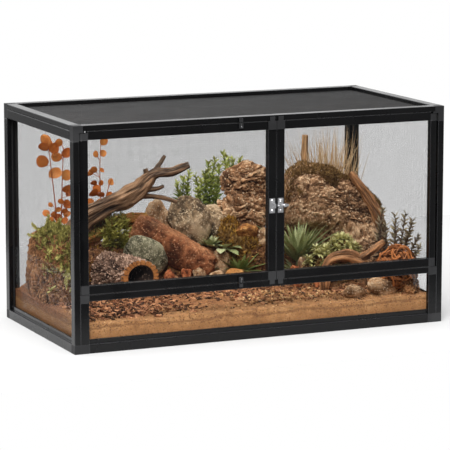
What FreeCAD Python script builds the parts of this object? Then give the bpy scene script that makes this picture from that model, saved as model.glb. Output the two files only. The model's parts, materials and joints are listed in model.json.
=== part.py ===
"""A furnished mesh terrarium: a knock-down cage of extruded members and plastic connectors, with two
pivoting mesh doors, a lift-off mesh lid, a clear lower panel and a planted bed.

Millimetres. The origin is the bottom centre of the cage; +X is right, +Y is back, +Z is up.
"""

import FreeCAD
import Part
import math
import os

import Sketcher

Vector = FreeCAD.Vector
doc = FreeCAD.newDocument("mesh_terrarium")
sheet = doc.addObject("Spreadsheet::Sheet", "sizes")

# Driving dimensions: alias, value and meaning
SIZES = {
    "width": (900, "cage, left to right"),
    "depth": (450, "cage, front to back"),
    "height": (500, "cage, floor to top of lid"),
    "member_face": (20, "face width of a frame member"),
    "member_thick": (14, "thickness of a frame member, square to its panel"),
    "wall": (1.6, "wall of the extrusions"),
    "rabbet_wide": (5, "seat for the mesh edge, along the panel"),
    "rabbet_deep": (3, "seat for the mesh edge, square to the panel"),
    "mesh_thick": (0.5, "woven mesh"),
    "mesh_bar": (3, "bar of the plain grid that stands in for the woven mesh"),
    "seat_gap": (0.3, "room between a panel and its seat"),
    "strip_gap": (0.1, "room over the strips that hold the mesh"),
    "sill_deep": (20, "bottom rail, outside to inside"),
    "sill_ledge": (12, "height of the ledge that carries the floor"),
    "lip_recess": (6, "lip of the bottom rail, set back from its face"),
    "lip_tall": (10, "lip of the bottom rail, above its top"),
    "floor_thick": (4, "floor panel"),
    "back_post_wide": (28, "back flange of a back post"),
    "top_connector_tall": (22, "top corner connector"),
    "spigot_long": (18, "plug of a connector in its member"),
    "spigot_gap": (0.2, "room round such a plug"),
    "mid_top": (129.5, "height of the top of the middle rail"),
    "mid_tall": (14, "middle rail"),
    "mid_connector_tall": (17.5, "connector at the ends of the middle rail"),
    "tenon_long": (4, "tenon of that connector in the post"),
    "tenon_wide": (8, "tenon, front to back"),
    "tenon_tall": (10, "tenon, upright"),
    "channel_wide": (20, "upright channel beside the lower panel"),
    "panel_thick": (2.7, "clear lower panel"),
    "guard_thick": (2, "clear bedding guard"),
    "guard_tall": (152, "bedding guard, from the floor panel up"),
    "lid_tall": (12, "lid frame"),
    "lid_face": (22, "lid frame, seen from above"),
    "peg_radius": (3, "lid peg"),
    "peg_long": (9, "lid peg"),
    "peg_sink": (5, "length of a lid peg in its cap"),
    "peg_gap": (0.1, "room round a lid peg"),
    "door_face": (19, "face width of a door member"),
    "door_side_gap": (0.8, "between door and post"),
    "door_end_gap": (1, "between door and the rails above and below"),
    "door_meet_gap": (1.5, "between the doors"),
    "door_split": (30, "meeting line, right of the centre"),
    "ear_thick": (4, "pivot ear of the top connector"),
    "pin_radius": (2, "door pivot pin"),
    "pin_gap": (0.05, "running fit of a pivot pin"),
    "pin_hold": (9, "length of pin pressed in the door corner"),
    "pin_reach": (8, "length of lower pin in its socket"),
    "tab_wide": (12, "stop tab of a meeting corner"),
    "tab_reach": (10, "stop tab, past the door edge"),
    "tab_thick": (2.5, "stop tab"),
    "tab_gap": (0.4, "between stop tab and rail"),
    "latch_height": (297.5, "latch above the floor"),
    "plate_wide": (13, "latch plate"),
    "plate_tall": (33, "latch plate"),
    "plate_thick": (1.5, "latch plate"),
    "plate_inset": (3, "latch plate, from the meeting edge of its door"),
    "guide_long": (6, "guide and keeper loop, along the bolt"),
    "guide_tall": (10, "guide and keeper loop"),
    "guide_deep": (6, "guide and keeper loop, in front of the plate"),
    "bolt_radius": (2, "latch bolt"),
    "bolt_gap": (0.06, "running fit of the bolt in its guide"),
    "keeper_gap": (0.25, "room round the bolt in the keeper"),
    "bolt_travel": (7.5, "stroke of the latch bolt"),
    "lever_long": (11, "thumb lever of the bolt"),
    "lever_tall": (9, "thumb lever at its root"),
    "lever_tip": (4, "thumb lever at its tip"),
    "lever_thick": (3, "thumb lever"),
    "screw_pitch": (22, "between the screws of a latch plate"),
    "screw_head": (3.4, "radius of a domed screw head"),
    "screw_shank": (1.6, "radius of a screw shank"),
    "screw_grip": (4, "length of screw behind the door face"),
    "shoot_place": (87, "shoot bolts, left of the meeting line"),
    "shoot_wide": (8, "housing of a shoot bolt"),
    "shoot_tall": (11.5, "housing of a shoot bolt"),
    "shoot_deep": (6.5, "housing of a shoot bolt"),
    "shoot_radius": (1.6, "rod of a shoot bolt"),
    "shoot_gap": (0.06, "running fit of the rod in its housing"),
    "shoot_travel": (7, "stroke of a shoot bolt"),
    "catch_wide": (7, "catch that takes the rod"),
    "catch_tall": (8.5, "catch that takes the rod"),
    "catch_gap": (0.45, "room round the rod in its catch"),
    "nub_radius": (1.1, "thumb nub of a shoot bolt"),
    "nub_reach": (1.5, "thumb nub, in front of the housing"),
    "nub_gap": (0.2, "room round the nub in its slot"),
    "bed_front": (46, "sand at the lower panel, above the floor panel"),
    "bed_bend": (50, "sand where the slope begins"),
    "bed_back": (112, "sand at the back guard"),
    "bed_flat": (170, "level part of the sand, front to back"),
    "bank_left": (106, "soil bank along the back, from the left guard"),
    "bank_tall": (150, "soil bank, above the floor panel"),
    "bank_foot": (150, "foot of the bank, from the back guard"),
    "bank_crest": (96, "level top of the bank, from the back guard"),
}

# Furnishings on the bed: x is the room between a piece and the guard on its side, or its centre from
# the middle; y is its room to the back guard or the front panel; then its length along x, depth along y
# and height above the bed
STONES = {
    "boulder": ("middle", "back", -10, 45, 110, 80, 152),
    "boulder_right": ("middle", "back", 42, 48, 62, 60, 134),
    "tan_rock": ("middle", "back", -92, 25, 60, 50, 148),
    "round_rock": ("middle", "back", -150, 73, 100, 78, 96),
    "pale_rock": ("middle", "back", 133, 122, 54, 46, 102),
    "flat_rock": ("middle", "back", 46, 181, 76, 44, 26),
    "red_stone_left": ("middle", "back", -115, 156, 28, 24, 32),
    "red_stone_right": ("middle", "back", -75, 157, 24, 22, 30),
    "pebble_left": ("middle", "back", -38, 144, 34, 28, 30),
    "pebble_right": ("middle", "back", -2, 158, 36, 28, 20),
    "pebble_back": ("middle", "back", 25, 115, 42, 34, 46),
    "right_pebble": ("right", "back", 201, 205, 46, 38, 62),
    "right_red_stone": ("right", "back", 241, 215, 42, 34, 48),
    "front_tan_rock": ("right", "front", 142, 52, 54, 40, 24),
    "front_pale_rock": ("right", "front", 74, 59, 66, 46, 32),
}
MOUNDS = {
    "soil_mound": ("left", "back", 4, 18, 92, 180, 116),
    "cork_mound": ("right", "back", 6, 40, 226, 176, 222),
    "cork_chunk": ("middle", "back", 125, 32, 122, 80, 230),
    "root_tangle": ("right", "front", 5, 16, 92, 88, 78),
}
PLANTS = {
    "fern": ("middle", "back", -226, 44, 62, 56, 142),
    "sprig_left": ("middle", "back", -6, 4, 78, 30, 202),
    "sprig_right": ("middle", "back", 78, 4, 104, 30, 236),
    "rosette": ("middle", "back", 14, 92, 70, 40, 92),
    "moss_clump": ("middle", "back", 84, 114, 84, 48, 112),
    "agave": ("middle", "back", 62, 137, 84, 56, 60),
    "pale_agave": ("right", "back", 187, 150, 70, 56, 148),
    "succulents": ("right", "back", 110, 224, 100, 44, 110),
    "twig_shrub": ("right", "back", 4, 262, 64, 52, 150),
}
GRASSES = {
    "grass_fan": ("right", "back", 12, 6, 128, 26, 290),
    "dead_stub": ("right", "back", 143, 7, 18, 18, 270),
}
STEMS = {
    "leaf_stem_left": ("left", "back", 44, 4, 104, 28, 304),
    "leaf_stem_right": ("middle", "back", -218, 4, 66, 28, 282),
}
FURNISHING_KEYS = ("x", "y", "long", "wide", "tall")
for group_rows in (STONES, MOUNDS, PLANTS, GRASSES, STEMS):
    for piece, row in group_rows.items():
        for key, amount in zip(FURNISHING_KEYS, row[2:]):
            SIZES[f"{piece}_{key}"] = (amount, f"{piece.replace('_', ' ')}, {key}")
SIZES.update({
    "slab_x": (-182, "left end of the slanting slab, from the middle"),
    "slab_y": (150, "front of the slab, from the back guard"),
    "slab_long": (195, "slab along x"),
    "slab_wide": (66, "slab along y"),
    "slab_tall": (136, "high end of the slab above the bed"),
    "slab_low": (30, "low end of the slab above the bed"),
    "tube_x": (196, "cork tube, from the left guard"),
    "tube_y": (179, "cork tube, from the back guard"),
    "tube_long": (110, "cork tube"),
    "tube_radius": (43, "cork tube, outside"),
    "tube_bark": (11, "cork tube, bark"),
    "tube_sink": (9, "cork tube, depth in the sand"),
    "tube_angle": (63, "cork tube, degrees its mouth turns from the right to the front"),
    "branch_x": (112, "foot of the driftwood branch, from the left guard"),
    "branch_y": (49, "foot of the branch, from the back guard"),
    "branch_long": (262, "branch, to the right"),
    "branch_deep": (102, "branch, to the front"),
    "branch_tall": (240, "branch, above its foot"),
    "branch_radius": (20, "branch at its foot"),
    "strip_x": (22, "foot of the leaning strip, from the right guard"),
    "strip_y": (236, "foot of the leaning strip, from the back guard"),
    "strip_long": (68, "leaning strip, to the left"),
    "strip_deep": (76, "leaning strip, to the back"),
    "strip_tall": (248, "leaning strip, above its foot"),
    "strip_radius": (13, "leaning strip"),
    "arch_x": (208, "left foot of the low arch, from the right guard"),
    "arch_y": (286, "low arch, from the back guard"),
    "arch_long": (112, "low arch, along x"),
    "arch_tall": (66, "low arch, above the bed"),
    "arch_radius": (12, "low arch"),
})
for number, (alias, (amount, meaning)) in enumerate(SIZES.items(), start=1):
    sheet.set(f"A{number}", meaning)
    sheet.set(f"B{number}", str(amount))
    sheet.setAlias(f"B{number}", alias)
doc.recompute()


class Size:
    """A length that carries its number and the sheet formula that it comes from."""

    def __init__(self, number, formula):
        self.number = number
        self.formula = formula

    @staticmethod
    def of(other):
        return other if isinstance(other, Size) else Size(float(other), repr(float(other)))

    def __add__(self, other):
        other = Size.of(other)
        return Size(self.number + other.number, f"({self.formula} + {other.formula})")

    def __sub__(self, other):
        other = Size.of(other)
        return Size(self.number - other.number, f"({self.formula} - {other.formula})")

    def __mul__(self, factor):
        return Size(self.number * factor, f"({self.formula} * {float(factor)!r})")

    def __truediv__(self, divisor):
        return Size(self.number / divisor, f"({self.formula} / {float(divisor)!r})")

    def __neg__(self):
        return self * -1

    __rmul__ = __mul__


class Sheet:
    """The sheet's cells as Sizes."""

    def __getattr__(self, alias):
        return Size(float(sheet.get(alias)), f"sizes.{alias}")


s = Sheet()
ZERO = Size.of(0)
LEFT, RIGHT = -s.width / 2, s.width / 2
FRONT, BACK = -s.depth / 2, s.depth / 2
TOP = s.height
MESH_IN = s.member_thick - s.rabbet_deep
SEAM = TOP - s.lid_tall
POST_TOP = SEAM - s.top_connector_tall
MID_BOTTOM = s.mid_top - s.mid_tall
FLOOR_TOP = s.sill_ledge + s.floor_thick
CONNECTOR_WIDE = s.member_thick + s.channel_wide
nodes = {}

# Openings of the mesh grids: along the width, depth and height, and across and up a door
WIDE_CELLS, DEEP_CELLS, TALL_CELLS = 12, 6, 7
DOOR_CELLS = (6, 5)


# Building blocks
def bind(item, name, size):
    item.setExpression(name, size.formula)


def ordered(pair):
    return sorted(map(Size.of, pair), key=lambda size: size.number)


def box(name, x, y, z):
    """A box between two limits on each axis."""
    item = doc.addObject("Part::Box", name)
    for axis, side, pair in zip("xyz", ("Length", "Width", "Height"), (x, y, z)):
        low, high = ordered(pair)
        bind(item, side, high - low)
        bind(item, f"Placement.Base.{axis}", low)
    return item


TURNS = {
    "x": FreeCAD.Rotation(Vector(0, 1, 0), Vector(0, 0, 1), Vector(1, 0, 0), "XYZ"),
    "y": FreeCAD.Rotation(Vector(0, 0, 1), Vector(1, 0, 0), Vector(0, 1, 0), "XYZ"),
    "z": FreeCAD.Rotation(),
}


def place(item, along, base):
    """Turns a solid made along its own Z to a world axis and binds its place."""
    item.Placement = FreeCAD.Placement(Vector(), TURNS[along])
    for axis, size in zip("xyz", base):
        bind(item, f"Placement.Base.{axis}", Size.of(size))


def rod(name, along, radius, base, length):
    """A cylinder that starts at a point and runs up a world axis."""
    item = doc.addObject("Part::Cylinder", name)
    bind(item, "Radius", radius)
    bind(item, "Height", length)
    place(item, along, base)
    return item


def fused(name, *items):
    item = doc.addObject("Part::MultiFuse", name)
    item.Shapes = list(items)
    return item


def cut(name, base, *tools):
    item = doc.addObject("Part::Cut", name)
    item.Base = base
    item.Tool = tools[0] if len(tools) == 1 else fused(f"{name}_tools", *tools)
    return item


def mirrored(name, source, normal=Vector(1, 0, 0)):
    item = doc.addObject("Part::Mirroring", name)
    item.Source = source
    item.Normal = normal
    return item


def node(name, *items):
    """Names the finished sub-part; several solids of one kind make one node."""
    item = items[0]
    if len(items) > 1:
        item = doc.addObject("Part::Compound", name)
        item.Links = list(items)
    item.Label = name
    nodes[name] = item
    return item


def pair(name, left):
    """A sub-part of a left piece and its mirror image."""
    return node(name, left, mirrored(f"{name}_mirror", left))


def extrusion(name, along, loops, start, end):
    """A pad of closed polygons; the sketch's two axes follow the world axis in cyclic order."""
    body = doc.addObject("PartDesign::Body", name)
    sketch = body.newObject("Sketcher::SketchObject", f"{name}_section")
    plane = next(p for p in body.Origin.OriginFeatures if p.Role == "XY_Plane")
    sketch.AttachmentSupport = (plane, [""])
    sketch.MapMode = "FlatFace"
    for loop in loops:
        first = sketch.GeometryCount
        corners = [Vector(u.number, v.number, 0) for u, v in loop]
        for a, b in zip(corners, corners[1:] + corners[:1]):
            sketch.addGeometry(Part.LineSegment(a, b))
        for i, (u, v) in enumerate(loop):
            following = first + (i + 1) % len(loop)
            sketch.addConstraint(Sketcher.Constraint("Coincident", first + i, 2, following, 1))
            for kind, size in (("DistanceX", u), ("DistanceY", v)):
                index = sketch.addConstraint(Sketcher.Constraint(kind, first + i, 1, size.number))
                sketch.setExpression(f"Constraints[{index}]", size.formula)
    pad = body.newObject("PartDesign::Pad", f"{name}_length")
    pad.Profile = sketch
    low, high = ordered((start, end))
    bind(pad, "Length", high - low)
    body.Tip = pad
    place(body, along, [low if axis == along else ZERO for axis in "xyz"])
    return body


def rectangle(u, v):
    return [(u[0], v[0]), (u[1], v[0]), (u[1], v[1]), (u[0], v[1])]


def toward(start, end):
    return 1 if end.number > start.number else -1


def hollow(outer, edge, face, back):
    """The bore of a member: limits across its face and through its thickness."""
    across, through = toward(outer, edge), toward(face, back)
    return (
        (outer + across * s.wall, edge - across * s.wall),
        (face + through * s.wall, back - through * (s.rabbet_deep + s.wall)),
    )


def member_section(outer, edge, face, back):
    """A hollow member with a seat for the mesh at its inner edge."""
    across, through = toward(outer, edge), toward(face, back)
    seat = edge - across * s.rabbet_wide
    bottom = back - through * s.rabbet_deep
    outline = [(outer, face), (edge, face), (edge, bottom), (seat, bottom), (seat, back), (outer, back)]
    return [outline, rectangle(*hollow(outer, edge, face, back))]


def swapped(loops):
    return [[(v, u) for u, v in loop] for loop in loops]


def slimmer(limits):
    """A bore's limits less the room round a plug."""
    low, high = ordered(limits)
    return low + s.spigot_gap, high - s.spigot_gap


def frame_strips(name, across, upright, thickness, flat):
    """Four strips on the edges of a mesh panel. flat turns (across, upright, thickness) into x, y, z."""
    (a0, a1), (u0, u1) = ordered(across), ordered(upright)
    wide = s.rabbet_wide - s.strip_gap
    runs = {
        "low": ((a0, a1), (u0, u0 + wide)),
        "high": ((a0, a1), (u1 - wide, u1)),
        "start": ((a0, a0 + wide), (u0 + wide, u1 - wide)),
        "end": ((a1 - wide, a1), (u0 + wide, u1 - wide)),
    }
    return [box(f"{name}_{run}", *flat(a, u, thickness)) for run, (a, u) in runs.items()]


def mesh_sheet(name, across, upright, thickness, flat, cells):
    """A panel of woven mesh as a plain grid of bars, with so many openings across and upright. flat turns
    (across, upright, thickness) into x, y, z."""
    across, upright = ordered(across), ordered(upright)
    bars = []
    for i in range(cells[0] + 1):
        start = across[0] + (across[1] - across[0] - s.mesh_bar) * i / cells[0]
        bars.append(box(f"{name}_upright_{i}", *flat((start, start + s.mesh_bar), upright, thickness)))
    for i in range(cells[1] + 1):
        start = upright[0] + (upright[1] - upright[0] - s.mesh_bar) * i / cells[1]
        bars.append(box(f"{name}_across_{i}", *flat(across, (start, start + s.mesh_bar), thickness)))
    grid = fused(name, *bars)
    grid.Refine = True
    return grid


# Bottom frame: stepped rails, floor panel and corner connectors
def sill_section(face, inward):
    def at(offset):
        return face + inward * offset

    outline = [
        (face, ZERO),
        (at(s.sill_deep), ZERO),
        (at(s.sill_deep), s.sill_ledge),
        (at(s.member_thick), s.sill_ledge),
        (at(s.member_thick), s.member_face),
        (at(MESH_IN), s.member_face),
        (at(MESH_IN), s.member_face + s.lip_tall),
        (at(s.lip_recess), s.member_face + s.lip_tall),
        (at(s.lip_recess), s.member_face),
        (face, s.member_face),
    ]
    return [outline, rectangle(*sill_bore(face, inward))]


def sill_bore(face, inward):
    depth = (face + inward * s.wall, face + inward * (s.member_thick - s.wall))
    return depth, (s.wall, s.member_face - s.wall)


def bottom_frame():
    front_end = RIGHT - CONNECTOR_WIDE
    back_end = RIGHT - s.back_post_wide
    side_end = BACK - s.member_face
    node("bottom_rail_front", extrusion("sill_front", "x", sill_section(FRONT, 1), -front_end, front_end))
    node("bottom_rail_back", extrusion("sill_back", "x", sill_section(BACK, -1), -back_end, back_end))
    left = extrusion("sill_left", "y", swapped(sill_section(LEFT, 1)), -side_end, side_end)
    pair("bottom_side_rails", left)
    room = s.member_thick + s.seat_gap
    node("floor_panel", box("floor", (LEFT + room, RIGHT - room), (FRONT + room, BACK - room),
                            (s.sill_ledge, FLOOR_TOP)))
    step = box("floor_step", (LEFT + s.member_thick, RIGHT - s.member_thick),
               (FRONT + s.member_thick, BACK - s.member_thick), (s.sill_ledge, s.member_face))
    corners = []
    for name, face, inward, wide in (("front", FRONT, 1, CONNECTOR_WIDE), ("back", BACK, -1, s.back_post_wide)):
        end_x = LEFT + wide
        end_y = face + inward * s.member_face
        block = box(f"foot_{name}", (LEFT, end_x), (face, end_y), (ZERO, s.member_face))
        depth, tall = map(slimmer, sill_bore(face, inward))
        side_depth = slimmer(sill_bore(LEFT, 1)[0])
        to_rail = box(f"foot_{name}_rail_plug", (end_x, end_x + s.spigot_long), depth, tall)
        to_side = box(f"foot_{name}_side_plug", side_depth, (end_y, end_y + inward * s.spigot_long), tall)
        to_post = post_plug(f"foot_{name}_post_plug", face, inward, s.member_face, 1)
        solid = fused(f"foot_{name}_solid", block, to_rail, to_side, to_post)
        corner = cut(f"foot_{name}_left", solid, step)
        corners += [corner, mirrored(f"foot_{name}_right", corner)]
    node("bottom_connectors", *corners)


# Posts, with the plug that every corner connector has for them
def post_bore(face, inward):
    across, through = hollow(face, face + inward * s.member_face, LEFT, LEFT + s.member_thick)
    return through, across


def post_plug(name, face, inward, start, up):
    x, y = map(slimmer, post_bore(face, inward))
    return box(name, x, y, (start, start + up * s.spigot_long))


def posts():
    edge = FRONT + s.member_face
    section = swapped(member_section(FRONT, edge, LEFT, LEFT + s.member_thick))
    front = extrusion("post_front", "z", section, s.member_face, POST_TOP)
    pair("front_posts", cut("post_front_left", front, tenon("post_slot")))

    def back_corner(u, v):
        return LEFT + u, BACK - v

    seat_x = s.back_post_wide - s.rabbet_wide
    seat_y = s.member_face - s.rabbet_wide
    outline = [
        back_corner(ZERO, ZERO),
        back_corner(s.back_post_wide, ZERO),
        back_corner(s.back_post_wide, MESH_IN),
        back_corner(seat_x, MESH_IN),
        back_corner(seat_x, s.member_thick),
        back_corner(s.member_thick, s.member_thick),
        back_corner(s.member_thick, seat_y),
        back_corner(MESH_IN, seat_y),
        back_corner(MESH_IN, s.member_face),
        back_corner(ZERO, s.member_face),
    ]
    bore = rectangle(*post_bore(BACK, -1))
    pair("back_posts", extrusion("post_back", "z", [outline, bore], s.member_face, POST_TOP))


# Top rails and connectors; the front connectors carry the door pivots
def side_space():
    """Room that the side mesh and its strips take, for cutting the connectors."""
    end = BACK - s.member_face + s.rabbet_wide
    return box("side_space", (LEFT + MESH_IN, LEFT + s.member_thick), (-end, end),
               (s.member_face, SEAM - s.member_face + s.rabbet_wide))


def back_space():
    end = RIGHT - s.back_post_wide + s.rabbet_wide
    return box("back_space", (-end, end), (BACK - s.member_thick, BACK - MESH_IN),
               (s.member_face, SEAM - s.member_face + s.rabbet_wide))


def peg_place(face, inward):
    return LEFT + s.member_thick / 2, face + inward * s.member_face / 2


def top_frame():
    edge = SEAM - s.member_face
    side_end = BACK - s.member_face
    side = member_section(SEAM, edge, LEFT, LEFT + s.member_thick)
    pair("top_side_rails", extrusion("top_left", "y", side, -side_end, side_end))
    back_end = RIGHT - s.back_post_wide
    section = swapped(member_section(SEAM, edge, BACK, BACK - s.member_thick))
    node("top_rail_back", extrusion("top_back", "x", section, -back_end, back_end))
    corners = []
    for name, face, inward in (("front", FRONT, 1), ("back", BACK, -1)):
        end_y = face + inward * s.member_face
        rise = (POST_TOP, SEAM)
        parts = [box(f"top_{name}_block", (LEFT, LEFT + s.member_thick), (face, end_y), rise)]
        tall, depth = map(slimmer, hollow(SEAM, edge, LEFT, LEFT + s.member_thick))
        plug_y = (end_y, end_y + inward * s.spigot_long)
        parts.append(box(f"top_{name}_side_plug", depth, plug_y, tall))
        parts.append(post_plug(f"top_{name}_post_plug", face, inward, POST_TOP, -1))
        x, y = peg_place(face, inward)
        socket = rod(f"top_{name}_socket", "z", s.peg_radius + s.peg_gap,
                     (x, y, SEAM - s.peg_long - s.seat_gap), s.peg_long + s.seat_gap)
        tools = [side_space(), socket]
        if name == "front":
            pivot_x, pivot_y = pivot(-1)
            ear_z = (SEAM - s.ear_thick, SEAM)
            parts.append(box("ear_arm", (LEFT + s.member_thick, pivot_x), (FRONT, FRONT + s.member_thick), ear_z))
            parts.append(rod("ear_eye", "z", s.member_thick / 2, (pivot_x, pivot_y, ear_z[0]), s.ear_thick))
            tools.append(rod("ear_bore", "z", s.pin_radius + s.pin_gap, (pivot_x, pivot_y, ear_z[0]), s.ear_thick))
        else:
            end_x = LEFT + s.back_post_wide
            parts.append(box("top_back_flange", (LEFT, end_x), (BACK, BACK - s.member_thick), rise))
            tall, depth = map(slimmer, hollow(SEAM, edge, BACK, BACK - s.member_thick))
            parts.append(box("top_back_rail_plug", (end_x, end_x + s.spigot_long), depth, tall))
            tools.append(back_space())
        corner = cut(f"top_{name}_left", fused(f"top_{name}_solid", *parts), *tools)
        corners += [corner, mirrored(f"top_{name}_right", corner)]
    node("top_connectors", *corners)


# Front middle: rail, its connectors with the lower pivots, channels and the clear panel
def tenon(name):
    centre_y = FRONT + s.member_thick / 2
    centre_z = s.mid_top - s.mid_connector_tall / 2
    edge = LEFT + s.member_thick
    return box(name, (edge - s.tenon_long, edge), (centre_y - s.tenon_wide / 2, centre_y + s.tenon_wide / 2),
               (centre_z - s.tenon_tall / 2, centre_z + s.tenon_tall / 2))


def front_middle():
    inner = LEFT + CONNECTOR_WIDE
    thick = (FRONT, FRONT + s.member_thick)
    section = swapped(member_section(s.mid_top, MID_BOTTOM, *thick))
    node("mid_rail", extrusion("mid_rail_body", "x", section, inner, -inner))
    low = s.mid_top - s.mid_connector_tall
    block = box("mid_block", (LEFT + s.member_thick, inner), thick, (low, s.mid_top))
    tall, depth = map(slimmer, hollow(s.mid_top, MID_BOTTOM, *thick))
    plug = box("mid_plug", (inner, inner + s.spigot_long), depth, tall)
    pivot_x, pivot_y = pivot(-1)
    reach = s.pin_reach + s.seat_gap
    socket = rod("mid_socket", "z", s.pin_radius + s.pin_gap, (pivot_x, pivot_y, s.mid_top - reach), reach)
    panel_end = inner - s.rabbet_wide
    panel_top = MID_BOTTOM + s.rabbet_wide
    seat = box("panel_seat", (panel_end, -panel_end), (FRONT + MESH_IN, FRONT + s.member_thick),
               (s.member_face, panel_top))
    solid = fused("mid_solid", block, plug, tenon("mid_tenon"))
    pair("mid_connectors", cut("mid_connector", solid, socket, seat))
    section = member_section(LEFT + s.member_thick, inner, *thick)
    pair("lower_channels", extrusion("channel", "z", section, s.member_face, low))
    face = FRONT + MESH_IN
    node("lower_panel", box("panel", (panel_end + s.seat_gap, -panel_end - s.seat_gap),
                            (face, face + s.panel_thick), (s.member_face, panel_top - s.seat_gap)))


# Fixed mesh panels, the strips that hold them, and the clear guards round the bed
def fixed_mesh():
    low, high = s.member_face, SEAM - s.member_face + s.rabbet_wide
    strip = s.rabbet_deep - s.mesh_thick - s.strip_gap
    side_end = BACK - s.member_face + s.rabbet_wide
    back_end = RIGHT - s.back_post_wide + s.rabbet_wide
    side_x = LEFT + MESH_IN
    back_y = BACK - MESH_IN
    gap = s.seat_gap
    inner_x = side_x + s.mesh_thick
    inner_y = back_y - s.mesh_thick
    deep, wide, tall = (-side_end + gap, side_end - gap), (-back_end + gap, back_end - gap), (low, high - gap)

    def on_side(a, u, t):
        return t, a, u

    def on_back(a, u, t):
        return a, t, u

    left = mesh_sheet("mesh_left", deep, tall, (side_x, inner_x), on_side, (DEEP_CELLS, TALL_CELLS))
    node("side_mesh_left", left)
    node("side_mesh_right", mirrored("mesh_right", left))
    node("back_mesh", mesh_sheet("mesh_back", wide, tall, (back_y, inner_y), on_back, (WIDE_CELLS, TALL_CELLS)))
    strips = frame_strips("side_strip", deep, tall, (inner_x, inner_x + strip), on_side)
    strips += [mirrored(f"side_strip_mirror_{i}", item) for i, item in enumerate(strips)]
    strips += frame_strips("back_strip", wide, tall, (inner_y, inner_y - strip), on_back)
    node("mesh_strips", *strips)


def room():
    """Inner limits of the bed: x half, front y and back y."""
    half = RIGHT - s.member_thick - s.seat_gap - s.guard_thick
    front = FRONT + MESH_IN + s.panel_thick
    back = BACK - s.member_thick - s.seat_gap - s.guard_thick
    return half, front, back


def guards():
    half, front, back = room()
    tall = (FLOOR_TOP, FLOOR_TOP + s.guard_tall)
    left = box("guard_left", (-half, -half - s.guard_thick), (FRONT + s.member_thick + s.seat_gap, back), tall)
    rear = box("guard_back", (-half, half), (back, back + s.guard_thick), tall)
    node("bedding_guards", left, mirrored("guard_right", left), rear)


# Lift-off lid
def lid():
    half_x = RIGHT - s.lid_face
    half_y = BACK - s.lid_face
    seat_x, seat_y = half_x + s.rabbet_wide, half_y + s.rabbet_wide
    front = extrusion("lid_front", "x", member_section(FRONT, -half_y, TOP, SEAM), -half_x, half_x)
    node("lid_long_rails", front, mirrored("lid_back", front, Vector(0, 1, 0)))
    side = extrusion("lid_left", "y", swapped(member_section(LEFT, -half_x, TOP, SEAM)), -half_y, half_y)
    pair("lid_short_rails", side)
    mesh_z = SEAM + s.rabbet_deep
    gap = s.seat_gap
    x, y = (-seat_x + gap, seat_x - gap), (-seat_y + gap, seat_y - gap)
    under = mesh_z - s.mesh_thick

    def on_lid(a, u, t):
        return a, u, t

    node("lid_mesh", mesh_sheet("lid_sheet", x, y, (under, mesh_z), on_lid, (WIDE_CELLS, DEEP_CELLS)))
    node("lid_strips", *frame_strips("lid_strip", x, y, (under, SEAM + s.strip_gap), on_lid))
    block = box("cap_block", (LEFT, -half_x), (FRONT, -half_y), (SEAM, TOP))
    across, depth = map(slimmer, hollow(FRONT, -half_y, TOP, SEAM))
    side_across = slimmer(hollow(LEFT, -half_x, TOP, SEAM)[0])
    to_long = box("cap_long_plug", (-half_x, -half_x + s.spigot_long), across, depth)
    to_short = box("cap_short_plug", side_across, (-half_y, -half_y + s.spigot_long), depth)
    peg_x, peg_y = peg_place(FRONT, 1)
    peg = rod("peg_front_left", "z", s.peg_radius, (peg_x, peg_y, SEAM - s.peg_long), s.peg_long + s.peg_sink)
    socket = rod("peg_socket", "z", s.peg_radius, (peg_x, peg_y, SEAM), s.peg_sink)
    space = box("lid_space", (-seat_x, seat_x), (-seat_y, seat_y), (SEAM, mesh_z))
    cap = cut("cap_front_left", fused("cap_solid", block, to_long, to_short), space, socket)
    caps = []
    for name, solid in (("cap", cap), ("peg", peg)):
        rear = mirrored(f"{name}_back_left", solid, Vector(0, 1, 0))
        caps += [solid, mirrored(f"{name}_front_right", solid), rear, mirrored(f"{name}_back_right", rear)]
    node("lid_caps", *caps)


# Doors
def door_edge(side):
    """The hinge edge of the door on one side, -1 left and 1 right."""
    return side * (RIGHT - s.member_thick - s.door_side_gap)


def pivot(side):
    """The axis of a door's pivot pins; the hinge edge is round about it."""
    half = s.member_thick / 2
    return door_edge(side) - side * half, FRONT + half


def meeting_edge(side):
    return s.door_split + side * s.door_meet_gap / 2


def screw_places(side):
    x = meeting_edge(side) + side * (s.plate_inset + s.plate_wide / 2)
    return [(x, s.latch_height - s.screw_pitch / 2), (x, s.latch_height + s.screw_pitch / 2)]


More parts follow.
